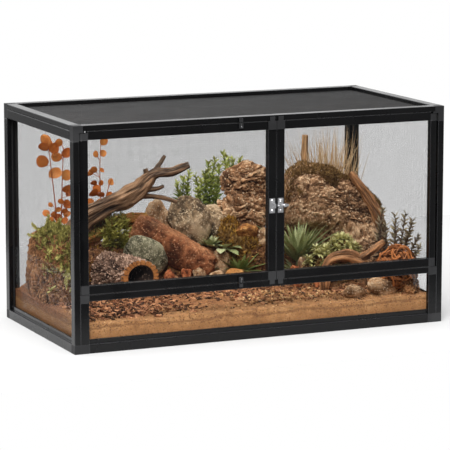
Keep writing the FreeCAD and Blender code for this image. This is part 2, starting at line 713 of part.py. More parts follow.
def door(name, side):
    into = -side
    edge, meet = door_edge(side), meeting_edge(side)
    low, high = s.mid_top + s.door_end_gap, SEAM - s.door_end_gap
    ear_low = SEAM - s.ear_thick - s.door_end_gap
    thick = (FRONT, FRONT + s.member_thick)
    hinge_in, meet_in = edge + into * s.door_face, meet - into * s.door_face
    low_in, high_in = low + s.door_face, high - s.door_face
    pivot_x, pivot_y = pivot(side)
    half = s.member_thick / 2
    seat = s.rabbet_wide
    seat_x = (hinge_in - into * seat, meet_in + into * seat)
    seat_z = (low_in - seat, high_in + seat)
    mesh_y = FRONT + MESH_IN
    space = box(f"{name}_space", seat_x, (mesh_y, FRONT + s.member_thick), seat_z)

    section = member_section(pivot_x, hinge_in, *thick)
    stile = extrusion(f"{name}_hinge_flat", "z", section, low_in, high_in)
    round_edge = rod(f"{name}_hinge_round", "z", half, (pivot_x, pivot_y, low_in), high_in - low_in)
    bore = box(f"{name}_hinge_bore", *hollow(pivot_x, hinge_in, *thick), (low_in, high_in))
    hinge_stile = cut(f"{name}_hinge_stile", fused(f"{name}_hinge_solid", stile, round_edge), bore)
    section = member_section(meet, meet_in, *thick)
    plain = extrusion(f"{name}_meeting_flat", "z", section, low_in, high_in)
    holes = [rod(f"{name}_hole_{i}", "y", s.screw_shank, (x, FRONT, z), s.screw_grip)
             for i, (x, z) in enumerate(screw_places(side))]
    meeting_stile = cut(f"{name}_meeting_stile", plain, *holes)
    node(f"{name}_stiles", hinge_stile, meeting_stile)

    rails = []
    for end, outer, inner in (("top", high, high_in), ("bottom", low, low_in)):
        section = swapped(member_section(outer, inner, *thick))
        rails.append(extrusion(f"{name}_{end}_rail", "x", section, hinge_in, meet_in))
    node(f"{name}_rails", *rails)

    corners, pins = [], []
    ends = (("top", high, high_in, -1, ear_low), ("bottom", low, low_in, 1, low))
    for end, outer, inner, up, hinge_outer in ends:
        tall, rail_depth = map(slimmer, hollow(outer, inner, *thick))
        stile_z = (inner, inner + up * s.spigot_long)
        across, depth = map(slimmer, hollow(pivot_x, hinge_in, *thick))
        part = f"{name}_{end}"
        solid = fused(
            f"{part}_hinge_solid",
            box(f"{part}_hinge_block", (pivot_x, hinge_in), thick, (inner, hinge_outer)),
            rod(f"{part}_hinge_eye", "z", half, (pivot_x, pivot_y, ordered((inner, hinge_outer))[0]),
                up * (inner - hinge_outer)),
            box(f"{part}_hinge_stile_plug", across, depth, stile_z),
            box(f"{part}_hinge_rail_plug", (hinge_in, hinge_in + into * s.spigot_long), rail_depth, tall),
        )
        held = (hinge_outer, hinge_outer + up * s.pin_hold)
        hole = rod(f"{part}_pin_hole", "z", s.pin_radius, (pivot_x, pivot_y, ordered(held)[0]), s.pin_hold)
        corners.append(cut(f"{part}_hinge_corner", solid, hole, space))
        out = s.pin_reach if end == "bottom" else s.ear_thick + s.door_end_gap - s.seat_gap
        reach = ordered((held[1], hinge_outer - up * (out + (s.door_end_gap if end == "bottom" else ZERO))))
        pins.append(rod(f"{part}_pin", "z", s.pin_radius, (pivot_x, pivot_y, reach[0]), reach[1] - reach[0]))

        across, depth = map(slimmer, hollow(meet, meet_in, *thick))
        proud = FRONT - s.tab_gap - s.tab_thick
        centre = (meet + meet_in) / 2
        tab_x = (centre - s.tab_wide / 2, centre + s.tab_wide / 2)
        solid = fused(
            f"{part}_meeting_solid",
            box(f"{part}_meeting_block", (meet, meet_in), thick, (inner, outer)),
            box(f"{part}_meeting_stile_plug", across, depth, stile_z),
            box(f"{part}_meeting_rail_plug", (meet_in, meet_in - into * s.spigot_long), rail_depth, tall),
        )
        corners.append(cut(f"{part}_meeting_corner", solid, space))
        corners.append(fused(
            f"{part}_stop_plate",
            box(f"{part}_stop_pad", (meet, meet_in), (proud, FRONT), (inner, outer)),
            box(f"{part}_stop_tab", tab_x, (proud, proud + s.tab_thick), (outer, outer - up * s.tab_reach)),
        ))
    node(f"{name}_corners", *corners)
    node(f"{name}_pins", *pins)

    gap = s.seat_gap
    (x0, x1), (z0, z1) = ordered(seat_x), seat_z
    x, z = (x0 + gap, x1 - gap), (z0 + gap, z1 - gap)
    strip_y = (mesh_y + s.mesh_thick, FRONT + s.member_thick - s.strip_gap)

    def on_door(a, u, t):
        return a, t, u

    node(f"{name}_mesh", mesh_sheet(f"{name}_sheet", x, z, (mesh_y, strip_y[0]), on_door, DOOR_CELLS))
    node(f"{name}_strips", *frame_strips(f"{name}_strip", x, z, strip_y, on_door))


# Latch: a slide bolt on the right door and its keeper on the left one
def bolt_axis_y():
    return FRONT - s.plate_thick - s.guide_deep / 2


def guide_bore(name, start):
    """The round bore that the bolt runs in."""
    return rod(name, "x", s.bolt_radius + s.bolt_gap, (start, bolt_axis_y(), s.latch_height), s.guide_long)


def keeper_slot(name, start):
    """The square slot that takes the bolt's end."""
    half = s.bolt_radius + s.keeper_gap
    y, z = bolt_axis_y(), s.latch_height
    return box(name, (start, start + s.guide_long), (y - half, y + half), (z - half, z + half))


def latch_half(name, side, opening):
    """A plate with a loop for the bolt at the meeting edge, and its domed screws."""
    meet = meeting_edge(side)
    near = meet + side * s.plate_inset
    z = s.latch_height
    front = FRONT - s.plate_thick
    plate = box(f"{name}_plate", (near, near + side * s.plate_wide), (front, FRONT),
                (z - s.plate_tall / 2, z + s.plate_tall / 2))
    loop = box(f"{name}_loop", (near, near + side * s.guide_long), (front, front - s.guide_deep),
               (z - s.guide_tall / 2, z + s.guide_tall / 2))
    start = ordered((near, near + side * s.guide_long))[0]
    bore = opening(f"{name}_bore", start)
    places = screw_places(side)
    holes = [rod(f"{name}_hole_{i}", "y", s.screw_shank, (x, front, at), s.plate_thick)
             for i, (x, at) in enumerate(places)]
    node(name, cut(f"{name}_solid", fused(f"{name}_raw", plate, loop), bore, *holes))
    screws = []
    for i, (x, at) in enumerate(places):
        shank = rod(f"{name}_shank_{i}", "y", s.screw_shank, (x, front, at), s.plate_thick + s.screw_grip)
        dome = doc.addObject("Part::Sphere", f"{name}_dome_{i}")
        bind(dome, "Radius", s.screw_head)
        dome.Angle1 = -90
        dome.Angle2 = 0
        place(dome, "y", (x, front, at))
        screws.append(fused(f"{name}_screw_{i}", shank, dome))
    node(f"{name}_screws", *screws)


def latch():
    latch_half("latch_keeper", -1, keeper_slot)
    latch_half("latch_guide", 1, guide_bore)
    tip = meeting_edge(1)
    guide_end = tip + s.plate_inset + s.guide_long
    root = guide_end + s.bolt_travel + s.seat_gap
    y, z = bolt_axis_y(), s.latch_height
    stem = rod("bolt_stem", "x", s.bolt_radius, (tip, y, z), root - tip + s.lever_long / 2)
    profile = [
        (z - s.lever_tall / 2, root),
        (z - s.lever_tip / 2, root + s.lever_long),
        (z + s.lever_tip / 2, root + s.lever_long),
        (z + s.lever_tall / 2, root),
    ]
    lever = extrusion("bolt_lever", "y", [profile], y - s.lever_thick / 2, y + s.lever_thick / 2)
    node("latch_bolt", fused("latch_bolt_solid", stem, lever))


# Shoot bolts of the left door: into a catch on the lid above and on the middle rail below
def shoot_bolt(name, up, door_end, catch_start, housings):
    x = s.door_split - s.shoot_place
    y = FRONT - s.shoot_deep / 2
    near = door_end - up * s.seat_gap
    far = near - up * s.shoot_tall
    block = box(f"{name}_block", (x - s.shoot_wide / 2, x + s.shoot_wide / 2), (FRONT, FRONT - s.shoot_deep),
                (near, far))
    low = ordered((near, far))[0]
    bore = rod(f"{name}_bore", "z", s.shoot_radius + s.shoot_gap, (x, y, low), s.shoot_tall)
    nub_z = far + up * (s.nub_radius + s.nub_gap + s.wall)
    slot_half = s.nub_radius + s.nub_gap
    slot = box(f"{name}_slot", (x - slot_half, x + slot_half), (FRONT - s.shoot_deep, y),
               (nub_z - up * slot_half, nub_z + up * (slot_half + s.shoot_travel)))
    housings.append(cut(f"{name}_housing", block, bore, slot))
    stem = rod(f"{name}_stem", "z", s.shoot_radius, (x, y, low), s.shoot_tall)
    nub = rod(f"{name}_nub", "y", s.nub_radius, (x, FRONT - s.shoot_deep - s.nub_reach, nub_z),
              s.shoot_deep / 2 + s.nub_reach)
    node(name, fused(f"{name}_solid", stem, nub))
    catch_end = catch_start + up * s.catch_tall
    catch = box(f"{name}_catch_block", (x - s.catch_wide / 2, x + s.catch_wide / 2),
                (FRONT, FRONT - s.shoot_deep), (catch_start, catch_end))
    room_round = s.shoot_radius + s.catch_gap
    slot = box(f"{name}_catch_slot", (x - room_round, x + room_round), (FRONT, y - room_round),
               (catch_start, catch_end))
    node(f"{name}_catch", cut(f"{name}_catch_solid", catch, slot))


def shoot_bolts():
    housings = []
    shoot_bolt("upper_bolt", 1, SEAM - s.door_end_gap, SEAM + s.door_end_gap, housings)
    shoot_bolt("lower_bolt", -1, s.mid_top + s.door_end_gap, s.mid_top - s.door_end_gap, housings)
    node("bolt_housings", *housings)


# Bed and furnishings
def sand_bed():
    half, front, back = room()
    bend = front + s.bed_flat
    gap = s.seat_gap
    outline = [
        (front + gap, FLOOR_TOP),
        (back - gap, FLOOR_TOP),
        (back - gap, FLOOR_TOP + s.bed_back),
        (bend, FLOOR_TOP + s.bed_bend),
        (front + gap, FLOOR_TOP + s.bed_front),
    ]
    return node("sand_bed", extrusion("bed", "x", [outline], -half + gap, half - gap))


def soil_bank(bed):
    half, _, back = room()
    gap = s.seat_gap
    foot = back - s.bank_foot
    outline = [
        (foot, FLOOR_TOP),
        (back - gap, FLOOR_TOP),
        (back - gap, FLOOR_TOP + s.bank_tall),
        (back - s.bank_crest, FLOOR_TOP + s.bank_tall),
        (foot, FLOOR_TOP + s.bed_bend),
    ]
    heaped = extrusion("bank", "x", [outline], -half + s.bank_left, half - gap)
    return node("soil_bank", cut("bank_on_bed", heaped, bed))


def bed_top(y):
    """Height of the sand at a depth."""
    _, front, back = room()
    run = [front.number, (front + s.bed_flat).number, back.number]
    rise = [s.bed_front.number, s.bed_bend.number, s.bed_back.number]
    part = 0 if y < run[1] else 1
    share = (y - run[part]) / (run[part + 1] - run[part])
    return FLOOR_TOP.number + rise[part] + share * (rise[part + 1] - rise[part])


def faces_to_solid(faces):
    solid = Part.Solid(Part.makeShell(faces))
    if solid.Volume < 0:
        solid.reverse()
    return solid


def polygon_face(points):
    return Part.Face(Part.makePolygon(points + points[:1]))


def heap(x, y, long, wide, low, rings, sides):
    """A faceted heap: one polygon, repeated at (height, scale) levels, so every face is flat."""
    def ring(level, scale):
        corners = []
        for i in range(sides):
            angle = 2 * math.pi * (i + 0.5) / sides
            swell = 1 - 0.06 * (i % 2)
            corners.append(Vector(x + swell * scale * long / 2 * math.cos(angle),
                                  y + swell * scale * wide / 2 * math.sin(angle), low + level))
        return corners

    loops = [ring(level, scale) for level, scale in rings]
    faces = [polygon_face(loops[0]), polygon_face(loops[-1])]
    for lower, upper in zip(loops, loops[1:]):
        for i in range(sides):
            j = (i + 1) % sides
            faces.append(polygon_face([lower[i], lower[j], upper[j], upper[i]]))
    return faces_to_solid(faces)


def limb(points, radii, sides=7):
    """A faceted limb through points, each ring square to the path there."""
    loops = []
    for i, point in enumerate(points):
        ahead = points[min(i + 1, len(points) - 1)]
        behind = points[max(i - 1, 0)]
        along = (ahead - behind).normalize()
        across = along.cross(Vector(0, 1, 0)).normalize()
        other = along.cross(across)
        loops.append([point + across * (radii[i] * math.cos(2 * math.pi * k / sides))
                      + other * (radii[i] * math.sin(2 * math.pi * k / sides)) for k in range(sides)])
    faces = [polygon_face(loops[0]), polygon_face(loops[-1])]
    for first, second in zip(loops, loops[1:]):
        for i in range(sides):
            j = (i + 1) % sides
            faces.append(polygon_face([first[i], first[j], second[j]]))
            faces.append(polygon_face([first[i], second[j], second[i]]))
    return faces_to_solid(faces)


HEAP_SIDES = 9
STONE_RINGS = ((0.0, 0.9), (0.35, 1.0), (0.75, 0.82), (1.0, 0.45))
MOUND_RINGS = ((0.0, 1.0), (0.3, 0.98), (0.65, 0.82), (0.9, 0.55), (1.0, 0.32))
PLANT_RINGS = ((0.0, 0.25), (0.45, 0.8), (0.8, 1.0), (1.0, 0.6))
STEM_RINGS = ((0.0, 0.12), (0.42, 0.14), (0.6, 1.0), (0.85, 0.8), (1.0, 0.3))
GRASS_RINGS = ((0.0, 0.6), (0.6, 0.9), (1.0, 1.0))


class Furnishings:
    """Places solids on the ground one by one, each cut by the ground and by those before it."""

    def __init__(self, *ground):
        self.placed = [item.Shape for item in ground]

    def add(self, solid):
        for other in self.placed:
            if solid.BoundBox.intersect(other.BoundBox):
                solid = solid.cut(other)
        solid = max(solid.Solids, key=lambda piece: piece.Volume)
        self.placed.append(solid)
        return solid

    def node(self, name, solids):
        item = doc.addObject("Part::Feature", name)
        item.Shape = solids[0] if len(solids) == 1 else Part.makeCompound(solids)
        item.Placement = FreeCAD.Placement()
        return node(name, item)


def spot(side, x, y, end="back"):
    """A place on the bed from a side and from the back guard or the front panel."""
    half, front, back = (size.number for size in room())
    start = {"left": -half, "middle": 0.0, "right": half}[side]
    place_x = start - x if side == "right" else start + x
    return place_x, front + y if end == "front" else back - y


def value(alias):
    return float(sheet.get(alias))


def heaps(furnishings, rows, rings):
    """One heap for each row, its foot below the sand so that the cut seats it."""
    solids = []
    for piece, row in rows.items():
        x, y, long, wide, tall = (value(f"{piece}_{key}") for key in FURNISHING_KEYS)
        near = 0 if row[0] == "middle" else long / 2
        x, y = spot(row[0], x + near, y + wide / 2, row[1])
        low = FLOOR_TOP.number
        sunk = bed_top(y) - low
        levels = [(0.0, rings[0][1])] + [(sunk + share * tall, scale) for share, scale in rings]
        solids.append(furnishings.add(heap(x, y, long, wide, low, levels, HEAP_SIDES)))
    return solids


def slab(furnishings):
    x, y = spot("middle", value("slab_x"), value("slab_y"))
    low = FLOOR_TOP.number
    ground = bed_top(y + value("slab_wide") / 2)
    long = value("slab_long")
    high = ground + value("slab_tall")
    shoulder = long * 0.3
    outline = [Vector(x, y, low), Vector(x, y, high * 0.9), Vector(x + shoulder / 2, y, high),
               Vector(x + shoulder, y, high), Vector(x + long, y, ground + value("slab_low")),
               Vector(x + long, y, low)]
    return furnishings.add(polygon_face(outline).extrude(Vector(0, value("slab_wide"), 0)))


def cork_tube(furnishings):
    x, y = spot("left", value("tube_x"), value("tube_y"))
    radius, long = value("tube_radius"), value("tube_long")
    turn = math.radians(value("tube_angle"))
    along = Vector(math.cos(turn), -math.sin(turn), 0)
    start = Vector(x, y, bed_top(y) + radius - value("tube_sink")) - along * (long / 2)
    tube = Part.makeCylinder(radius, long, start, along)
    return furnishings.add(tube.cut(Part.makeCylinder(radius - value("tube_bark"), long, start, along)))


def branch(furnishings):
    """The forked branch: its trunk, an upper twig, a lower twig and a stub, as shares of its reach."""
    x, y = spot("left", value("branch_x"), value("branch_y"))
    low = FLOOR_TOP.number
    ground = bed_top(y)
    long, deep, tall = value("branch_long"), value("branch_deep"), value("branch_tall")
    thick = value("branch_radius")

    def at(right, front, up):
        return Vector(x + right * long, y - front * deep, ground + up * tall)

    trunk = [Vector(x, y, low), at(0.08, 0.1, 0.43), at(0.3, 0.33, 0.65), at(0.51, 0.58, 0.8),
             at(0.66, 0.78, 0.92), at(0.82, 0.88, 0.97), at(1, 1, 1)]
    solid = limb(trunk, [thick * share for share in (1, 1, 0.95, 0.85, 0.8, 0.65, 0.5)])
    twigs = [
        ([at(0.68, 0.78, 0.93), at(0.76, 0.7, 1.0), at(0.83, 0.6, 1.07)], (0.32, 0.28, 0.2)),
        ([at(0.56, 0.65, 0.8), at(0.76, 0.8, 0.77), at(0.93, 0.86, 0.68)], (0.32, 0.27, 0.18)),
        ([at(0.6, 0.74, 0.84), at(0.68, 0.9, 0.83), at(0.74, 0.98, 0.85)], (0.4, 0.3, 0.2)),
    ]
    for points, shares in twigs:
        solid = solid.fuse(limb(points, [thick * share for share in shares]))
    return furnishings.add(solid)


def roots(furnishings):
    """The strip that leans on the cork mound, and the low arch in front of it."""
    low = FLOOR_TOP.number
    x, y = spot("right", value("strip_x"), value("strip_y"))
    long, deep, tall = value("strip_long"), value("strip_deep"), value("strip_tall")
    ground = bed_top(y)

    def lean(left, back, up):
        return Vector(x - left * long, y + back * deep, ground + up * tall)

    points = [Vector(x, y, low), lean(0.06, 0.14, 0.36), lean(0.4, 0.47, 0.72), lean(1, 1, 1)]
    strip = furnishings.add(limb(points, [value("strip_radius") * share for share in (1, 1, 0.9, 0.6)]))
    x, y = spot("right", value("arch_x"), value("arch_y"))
    long, tall = value("arch_long"), value("arch_tall")
    ground = bed_top(y)

    def span(right, up):
        return Vector(x + right * long, y, ground + up * tall)

    points = [Vector(x, y, low), span(0.12, 0.55), span(0.4, 0.72), span(0.72, 0.8), span(0.94, 0.6),
              Vector(x + long, y, low)]
    arch = furnishings.add(limb(points, [value("arch_radius") * share for share in (1, 1, 0.9, 1, 1, 1)]))
    return [strip, arch]


def furnish():
    bed = sand_bed()
    bank = soil_bank(bed)
    doc.recompute()
    items = Furnishings(bed, bank)
    for name, row in MOUNDS.items():
        items.node(name, heaps(items, {name: row}, MOUND_RINGS))
    items.node("cork_tube", [cork_tube(items)])
    items.node("slab_rock", [slab(items)])
    items.node("driftwood_branch", [branch(items)])
    items.node("driftwood_roots", roots(items))
    items.node("rocks", heaps(items, STONES, STONE_RINGS))
    items.node("dry_grass", heaps(items, GRASSES, GRASS_RINGS))
    items.node("leaf_stems", heaps(items, STEMS, STEM_RINGS))
    items.node("green_plants", heaps(items, PLANTS, PLANT_RINGS))


bottom_frame()
posts()
top_frame()
front_middle()
fixed_mesh()
guards()
lid()
door("left_door", -1)
door("right_door", 1)
latch()
shoot_bolts()
furnish()
doc.recompute()

failed = [item.Name for item in doc.Objects if {"Invalid", "Error"} & set(item.State)]
failed += [name for name, item in nodes.items() if item.Shape.isNull() or not item.Shape.isValid()]
if failed:
    raise RuntimeError(f"failed: {failed}")
os.makedirs("parts", exist_ok=True)
for name, item in nodes.items():
    item.Shape.exportStep(f"parts/{name}.step")
print(len(nodes), "nodes,", sum(len(item.Shape.Solids) for item in nodes.values()), "solids")
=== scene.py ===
# %% [markdown]
# # A furnished mesh terrarium
# The object is a black knock-down cage with fine mesh on its doors, sides, back and lid, a clear panel
# below the doors, and a dry landscape inside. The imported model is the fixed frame: its rails, doors,
# latch and panels are already in place, in metres. This lesson adds what the frame has only as plain
# stand-ins: the woven wires, the bedding, bark, stones, driftwood and plants, and a finish for every
# surface.

# %% Load the fixed frame
import json
import math

import bpy
import numpy as np
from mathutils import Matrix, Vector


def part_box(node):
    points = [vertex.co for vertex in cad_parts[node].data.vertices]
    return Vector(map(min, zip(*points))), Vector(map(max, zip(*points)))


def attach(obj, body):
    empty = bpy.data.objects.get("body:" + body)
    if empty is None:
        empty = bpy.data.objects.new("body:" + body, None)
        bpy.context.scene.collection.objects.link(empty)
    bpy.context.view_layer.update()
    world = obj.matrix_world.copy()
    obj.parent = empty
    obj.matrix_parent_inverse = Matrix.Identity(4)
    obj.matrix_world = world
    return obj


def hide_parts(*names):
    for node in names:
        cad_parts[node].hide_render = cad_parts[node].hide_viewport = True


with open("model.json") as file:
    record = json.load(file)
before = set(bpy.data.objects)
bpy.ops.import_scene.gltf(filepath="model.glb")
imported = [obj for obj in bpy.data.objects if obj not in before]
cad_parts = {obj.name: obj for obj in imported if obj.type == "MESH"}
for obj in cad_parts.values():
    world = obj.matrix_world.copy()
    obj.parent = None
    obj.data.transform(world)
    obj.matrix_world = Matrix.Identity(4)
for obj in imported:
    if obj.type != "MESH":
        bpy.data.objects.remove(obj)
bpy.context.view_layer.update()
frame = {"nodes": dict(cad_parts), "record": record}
nodes = frame["nodes"]

# %% [markdown]
# ## Camera
# A product picture like this is taken from far away with a long lens, so that upright edges stay nearly
# parallel. The camera is placed by an angle round the cage, an angle above the floor and a distance from
# a point near the middle of the cage. Its focal length is given in pixels of a square picture and turned
# into millimetres.

# %% Camera
AZIMUTH, ELEVATION = math.radians(-23.79), math.radians(9.57)
CAMERA_DISTANCE, CAMERA_TARGET = 6.053, np.array((0.0047, 0.0, 0.2205))
PICTURE_PIXELS, FOCAL_PIXELS, SENSOR_MM = 450, 2630.8, 36
toward_camera = np.array((math.sin(AZIMUTH) * math.cos(ELEVATION),
                          -math.cos(AZIMUTH) * math.cos(ELEVATION), math.sin(ELEVATION)))
scene = bpy.context.scene
lens = bpy.data.cameras.new("picture_camera")
lens.sensor_width = SENSOR_MM
lens.lens = FOCAL_PIXELS / PICTURE_PIXELS * SENSOR_MM
camera = bpy.data.objects.new("picture_camera", lens)
camera.location = CAMERA_TARGET + CAMERA_DISTANCE * toward_camera
camera.rotation_euler = (math.pi / 2 - ELEVATION, 0, AZIMUTH)
scene.collection.objects.link(camera)
scene.camera = camera
scene.view_settings.view_transform = "Standard"
print("camera at", np.round(camera.location, 3), "lens mm", round(lens.lens, 1))

# %% [markdown]
# ## Nodes in few words
# Finishes here are node trees. Adding nodes one by one takes many lines, so one helper adds a node, sets
# its settings, and sets or links its inputs. Colours are easier to judge as screen values from 0 to 255,
# but shaders want linear light, so a second helper converts them. The others stand for the few nodes
# that come again and again.

# %% Node helpers
def fill(tree, made, label, value):
    """Gives one input of a node a value, or a link from another node's socket."""
    if isinstance(value, bpy.types.NodeSocket):
        tree.links.new(value, made.inputs[label])
    else:
        made.inputs[label].default_value = value


def add(tree, kind, inputs=None, **settings):
    """Adds one shader node with its settings and inputs."""
    made = tree.nodes.new("ShaderNode" + kind)
    for key, value in settings.items():
        setattr(made, key, value)
    for label, value in (inputs or {}).items():
        fill(tree, made, label, value)
    return made


def tone(red, green, blue):
    """A screen colour as linear light: the usual curve with its straight foot."""
    screen = np.array((red, green, blue)) / 255
    linear = np.where(screen <= 0.04045, screen / 12.92, ((screen + 0.055) / 1.055) ** 2.4)
    return (*map(float, linear), 1.0)


def calc(tree, operation, first, second=0.0, third=0.0, clamp=False):
    """The result socket of one Math node."""
    inputs = {0: first, 1: second, 2: third}
    return add(tree, "Math", inputs, operation=operation, use_clamp=clamp).outputs[0]


def times(tree, first, second):
    """The product of two values."""
    return calc(tree, "MULTIPLY", first, second)


def mixed(tree, share, first, second, blend="MIX"):
    """The colour socket of one Mix node."""
    return add(tree, "Mix", {0: share, 6: first, 7: second}, data_type="RGBA", blend_type=blend).outputs[2]


def ramp(tree, value, low, high, start=0.0, end=1.0, curve="SMOOTHSTEP"):
    """A value carried from one span to another, by default along a smooth step."""
    spans = {"Value": value, "From Min": low, "From Max": high, "To Min": start, "To Max": end}
    return add(tree, "MapRange", spans, interpolation_type=curve).outputs["Result"]


def agreement(tree, first, second):
    """How far two directions agree: their dot product."""
    return add(tree, "VectorMath", {0: first, 1: second}, operation="DOT_PRODUCT").outputs["Value"]


def finish_for(name, **plain):
    """A material with one Principled shader, its plain values set by socket name with _ for a space."""
    material = bpy.data.materials.new(name)
    material.use_nodes = True
    shader = material.node_tree.nodes["Principled BSDF"]
    for label, value in plain.items():
        shader.inputs[label.replace("_", " ")].default_value = value
    return material, material.node_tree, shader


print("a mid screen grey is", np.round(tone(128, 128, 128), 3))

# %% [markdown]
# ## Studio
# The cage stands on a plain pale floor in soft light. A black coat shows mostly what it mirrors: the left
# faces and the lid's rim mirror the bright back of the studio, and the front mirrors what is before it.
# So the world glows behind and above, is dark towards the viewer but for a soft patch at the front right,
# and dim below, and the floor ends a short way round the cage. Where the camera looks past the cage, the
# world is plain white. Two large lamps light the bed from above.

# %% Floor
FLOOR_SIDE, FLOOR_FRONT, FLOOR_BACK = 1.8, -0.5, 1.1
FLOOR_GREY, FLOOR_GLOW = 0.36, 0.12
floor_mesh = bpy.data.meshes.new("floor")
floor_mesh.from_pydata([(-FLOOR_SIDE, FLOOR_FRONT, 0), (FLOOR_SIDE, FLOOR_FRONT, 0),
                        (FLOOR_SIDE, FLOOR_BACK, 0), (-FLOOR_SIDE, FLOOR_BACK, 0)], [], [(0, 1, 2, 3)])
floor = bpy.data.objects.new("floor", floor_mesh)
scene.collection.objects.link(floor)
pale, *_ = finish_for("pale_floor", Base_Color=(FLOOR_GREY, FLOOR_GREY, FLOOR_GREY, 1), Roughness=0.9,
                      Specular_IOR_Level=0.0, Emission_Color=(1, 1, 1, 1), Emission_Strength=FLOOR_GLOW)
floor_mesh.materials.append(pale)
print("floor from", FLOOR_FRONT, "to", FLOOR_BACK, "m")

# %% World
GLOW_AXIS, GLOW_EDGE = (-0.28, 0.80, 0.53), (-0.35, 0.35)
FRONT_AXIS, FRONT_EDGE, FRONT_GLOW = (0.70, -0.70, -0.12), (0.86, 0.97), 0.35
DIM_GLOW, BRIGHT_GLOW, LOW_GLOW, HORIZON = 0.04, 1.15, 0.05, (-0.25, 0.12)
world = bpy.data.worlds.new("studio")
world.use_nodes = True
sky = world.node_tree
sky.nodes.clear()
heading = add(sky, "TexCoord").outputs["Generated"]
height = add(sky, "SeparateXYZ", {0: heading}).outputs["Z"]
lower = ramp(sky, height, *HORIZON, LOW_GLOW, 1.0)
glow = ramp(sky, agreement(sky, heading, GLOW_AXIS), *GLOW_EDGE, DIM_GLOW, BRIGHT_GLOW)
front_glow = ramp(sky, agreement(sky, heading, FRONT_AXIS), *FRONT_EDGE, 0.0, FRONT_GLOW)
glow = calc(sky, "MULTIPLY_ADD", glow, lower, front_glow)
seen = add(sky, "LightPath").outputs["Is Camera Ray"]
strength = add(sky, "Mix", {0: seen, 2: glow, 3: 1.0}, data_type="FLOAT").outputs[0]
backdrop = add(sky, "Background", {"Color": (1, 1, 1, 1), "Strength": strength})
add(sky, "OutputWorld", {"Surface": backdrop.outputs[0]})
scene.world = world
print("world glow from", DIM_GLOW, "to", BRIGHT_GLOW)

# %% Lamps
LAMP_AIM = np.array((0, 0, 0.2))


def lamp(name, place, size, watts):
    """A square area lamp that faces the middle of the bed."""
    data = bpy.data.lights.new(name, "AREA")
    data.size = size
    data.energy = watts
    made = bpy.data.objects.new(name, data)
    made.location = place
    gaze = LAMP_AIM - np.array(place)
    fall = math.acos(-gaze[2] / np.linalg.norm(gaze))
    made.rotation_euler = (fall, 0, math.atan2(gaze[1], gaze[0]) - math.pi / 2)
    scene.collection.objects.link(made)
    print(name, "of", watts, "W")


lamp("key_lamp", (-3.0, -5.2, 5.4), 2.6, 840)
lamp("top_lamp", (-0.6, -0.6, 6.0), 3.6, 440)

# %% [markdown]
# ## Noise worked out with numpy
# Stones, bark and soil need unevenness in the mesh itself, not only in the shading. Blender has noise
# textures, but a shape here is a function on a grid, so the noise is a function too: smooth value noise,
# a sum of its finer copies, and cell noise whose borders make cracks and whose cells make plates. Each
# works on a whole array of points at once.

# %% Noise functions
def clipped(values):
    """Values held between 0 and 1."""
    return np.clip(values, 0, 1)


def lattice(corner, seed):
    """A repeatable number from 0 to 1 for each grid corner: its whole numbers are mixed by multiply and
    xor."""
    mix = corner[:, 0] * 374761393 + corner[:, 1] * 668265263 + corner[:, 2] * 1274126177 + seed * 144665
    mix = mix & 0xFFFFFFFF
    mix = ((mix ^ (mix >> 13)) * 1274126177) & 0xFFFFFFFF
    return ((mix ^ (mix >> 16)) & 0xFFFFFF) / 0xFFFFFF


def swell(points, size, seed):
    """Smooth noise from -1 to 1: eight corner numbers blended by the curve 3tt - 2ttt along each axis."""
    scaled = points / size
    low = np.floor(scaled).astype(np.int64)
    part = scaled - low
    part = part * part * (3 - 2 * part)
    total = np.zeros(len(points))
    for corner in np.ndindex(2, 2, 2):
        weight = np.prod(np.where(corner, part, 1 - part), axis=1)
        total += weight * lattice(low + corner, seed)
    return 2 * total - 1


def rough(points, size, layers=3, seed=0):
    """A sum of smooth noises, each half as large and half as strong as the one before, for points in an
    array of any shape."""
    flat = points.reshape(-1, 3)
    total = sum(swell(flat, size / 2 ** k, seed + 17 * k) / 2 ** k for k in range(layers))
    return total.reshape(points.shape[:-1])


def cells(points, size, seed):
    """Cell noise: how much further the second nearest scattered point is than the nearest, which is 0 on a
    border, and a number from 0 to 1 that the whole cell of the nearest one shares."""
    scaled = points / size
    low = np.floor(scaled).astype(np.int64)
    near = np.full(len(points), 9.0)
    second, own = near.copy(), near.copy()
    for step in np.ndindex(3, 3, 3):
        corner = low + np.array(step) - 1
        spot = corner + np.stack([lattice(corner, seed + k) for k in (1, 2, 3)], axis=1)
        gap = np.linalg.norm(scaled - spot, axis=1)
        own = np.where(gap < near, lattice(corner, seed + 4), own)
        second = np.minimum(second, np.maximum(near, gap))
        near = np.minimum(near, gap)
    return second - near, own


trial = rough(np.random.default_rng(1).uniform(-50, 50, (1000, 3)), 20)
print("noise spans", trial.min().round(2), "to", trial.max().round(2))

# %% [markdown]
# ## From a grid to a mesh
# Every new piece is a batch of closed grids: rows along it, columns round it. Neighbouring points make
# quads, the last column joins the first, and a fan of triangles closes each end. The arrays go into the
# mesh with foreach_set, which is far quicker than a loop. Two numbers ride on each point as attributes
# for the finishes: `shade` varies from copy to copy, and `hollow` is 0 deep in a crack and 1 on a ridge;
# the finishes darken the colour where `hollow` is low, as painted shade in cracks. A third one,
# `straight`, holds the point's place on the straightened piece, so that grain can follow a bent limb.

# %% Skins
MM = 0.001


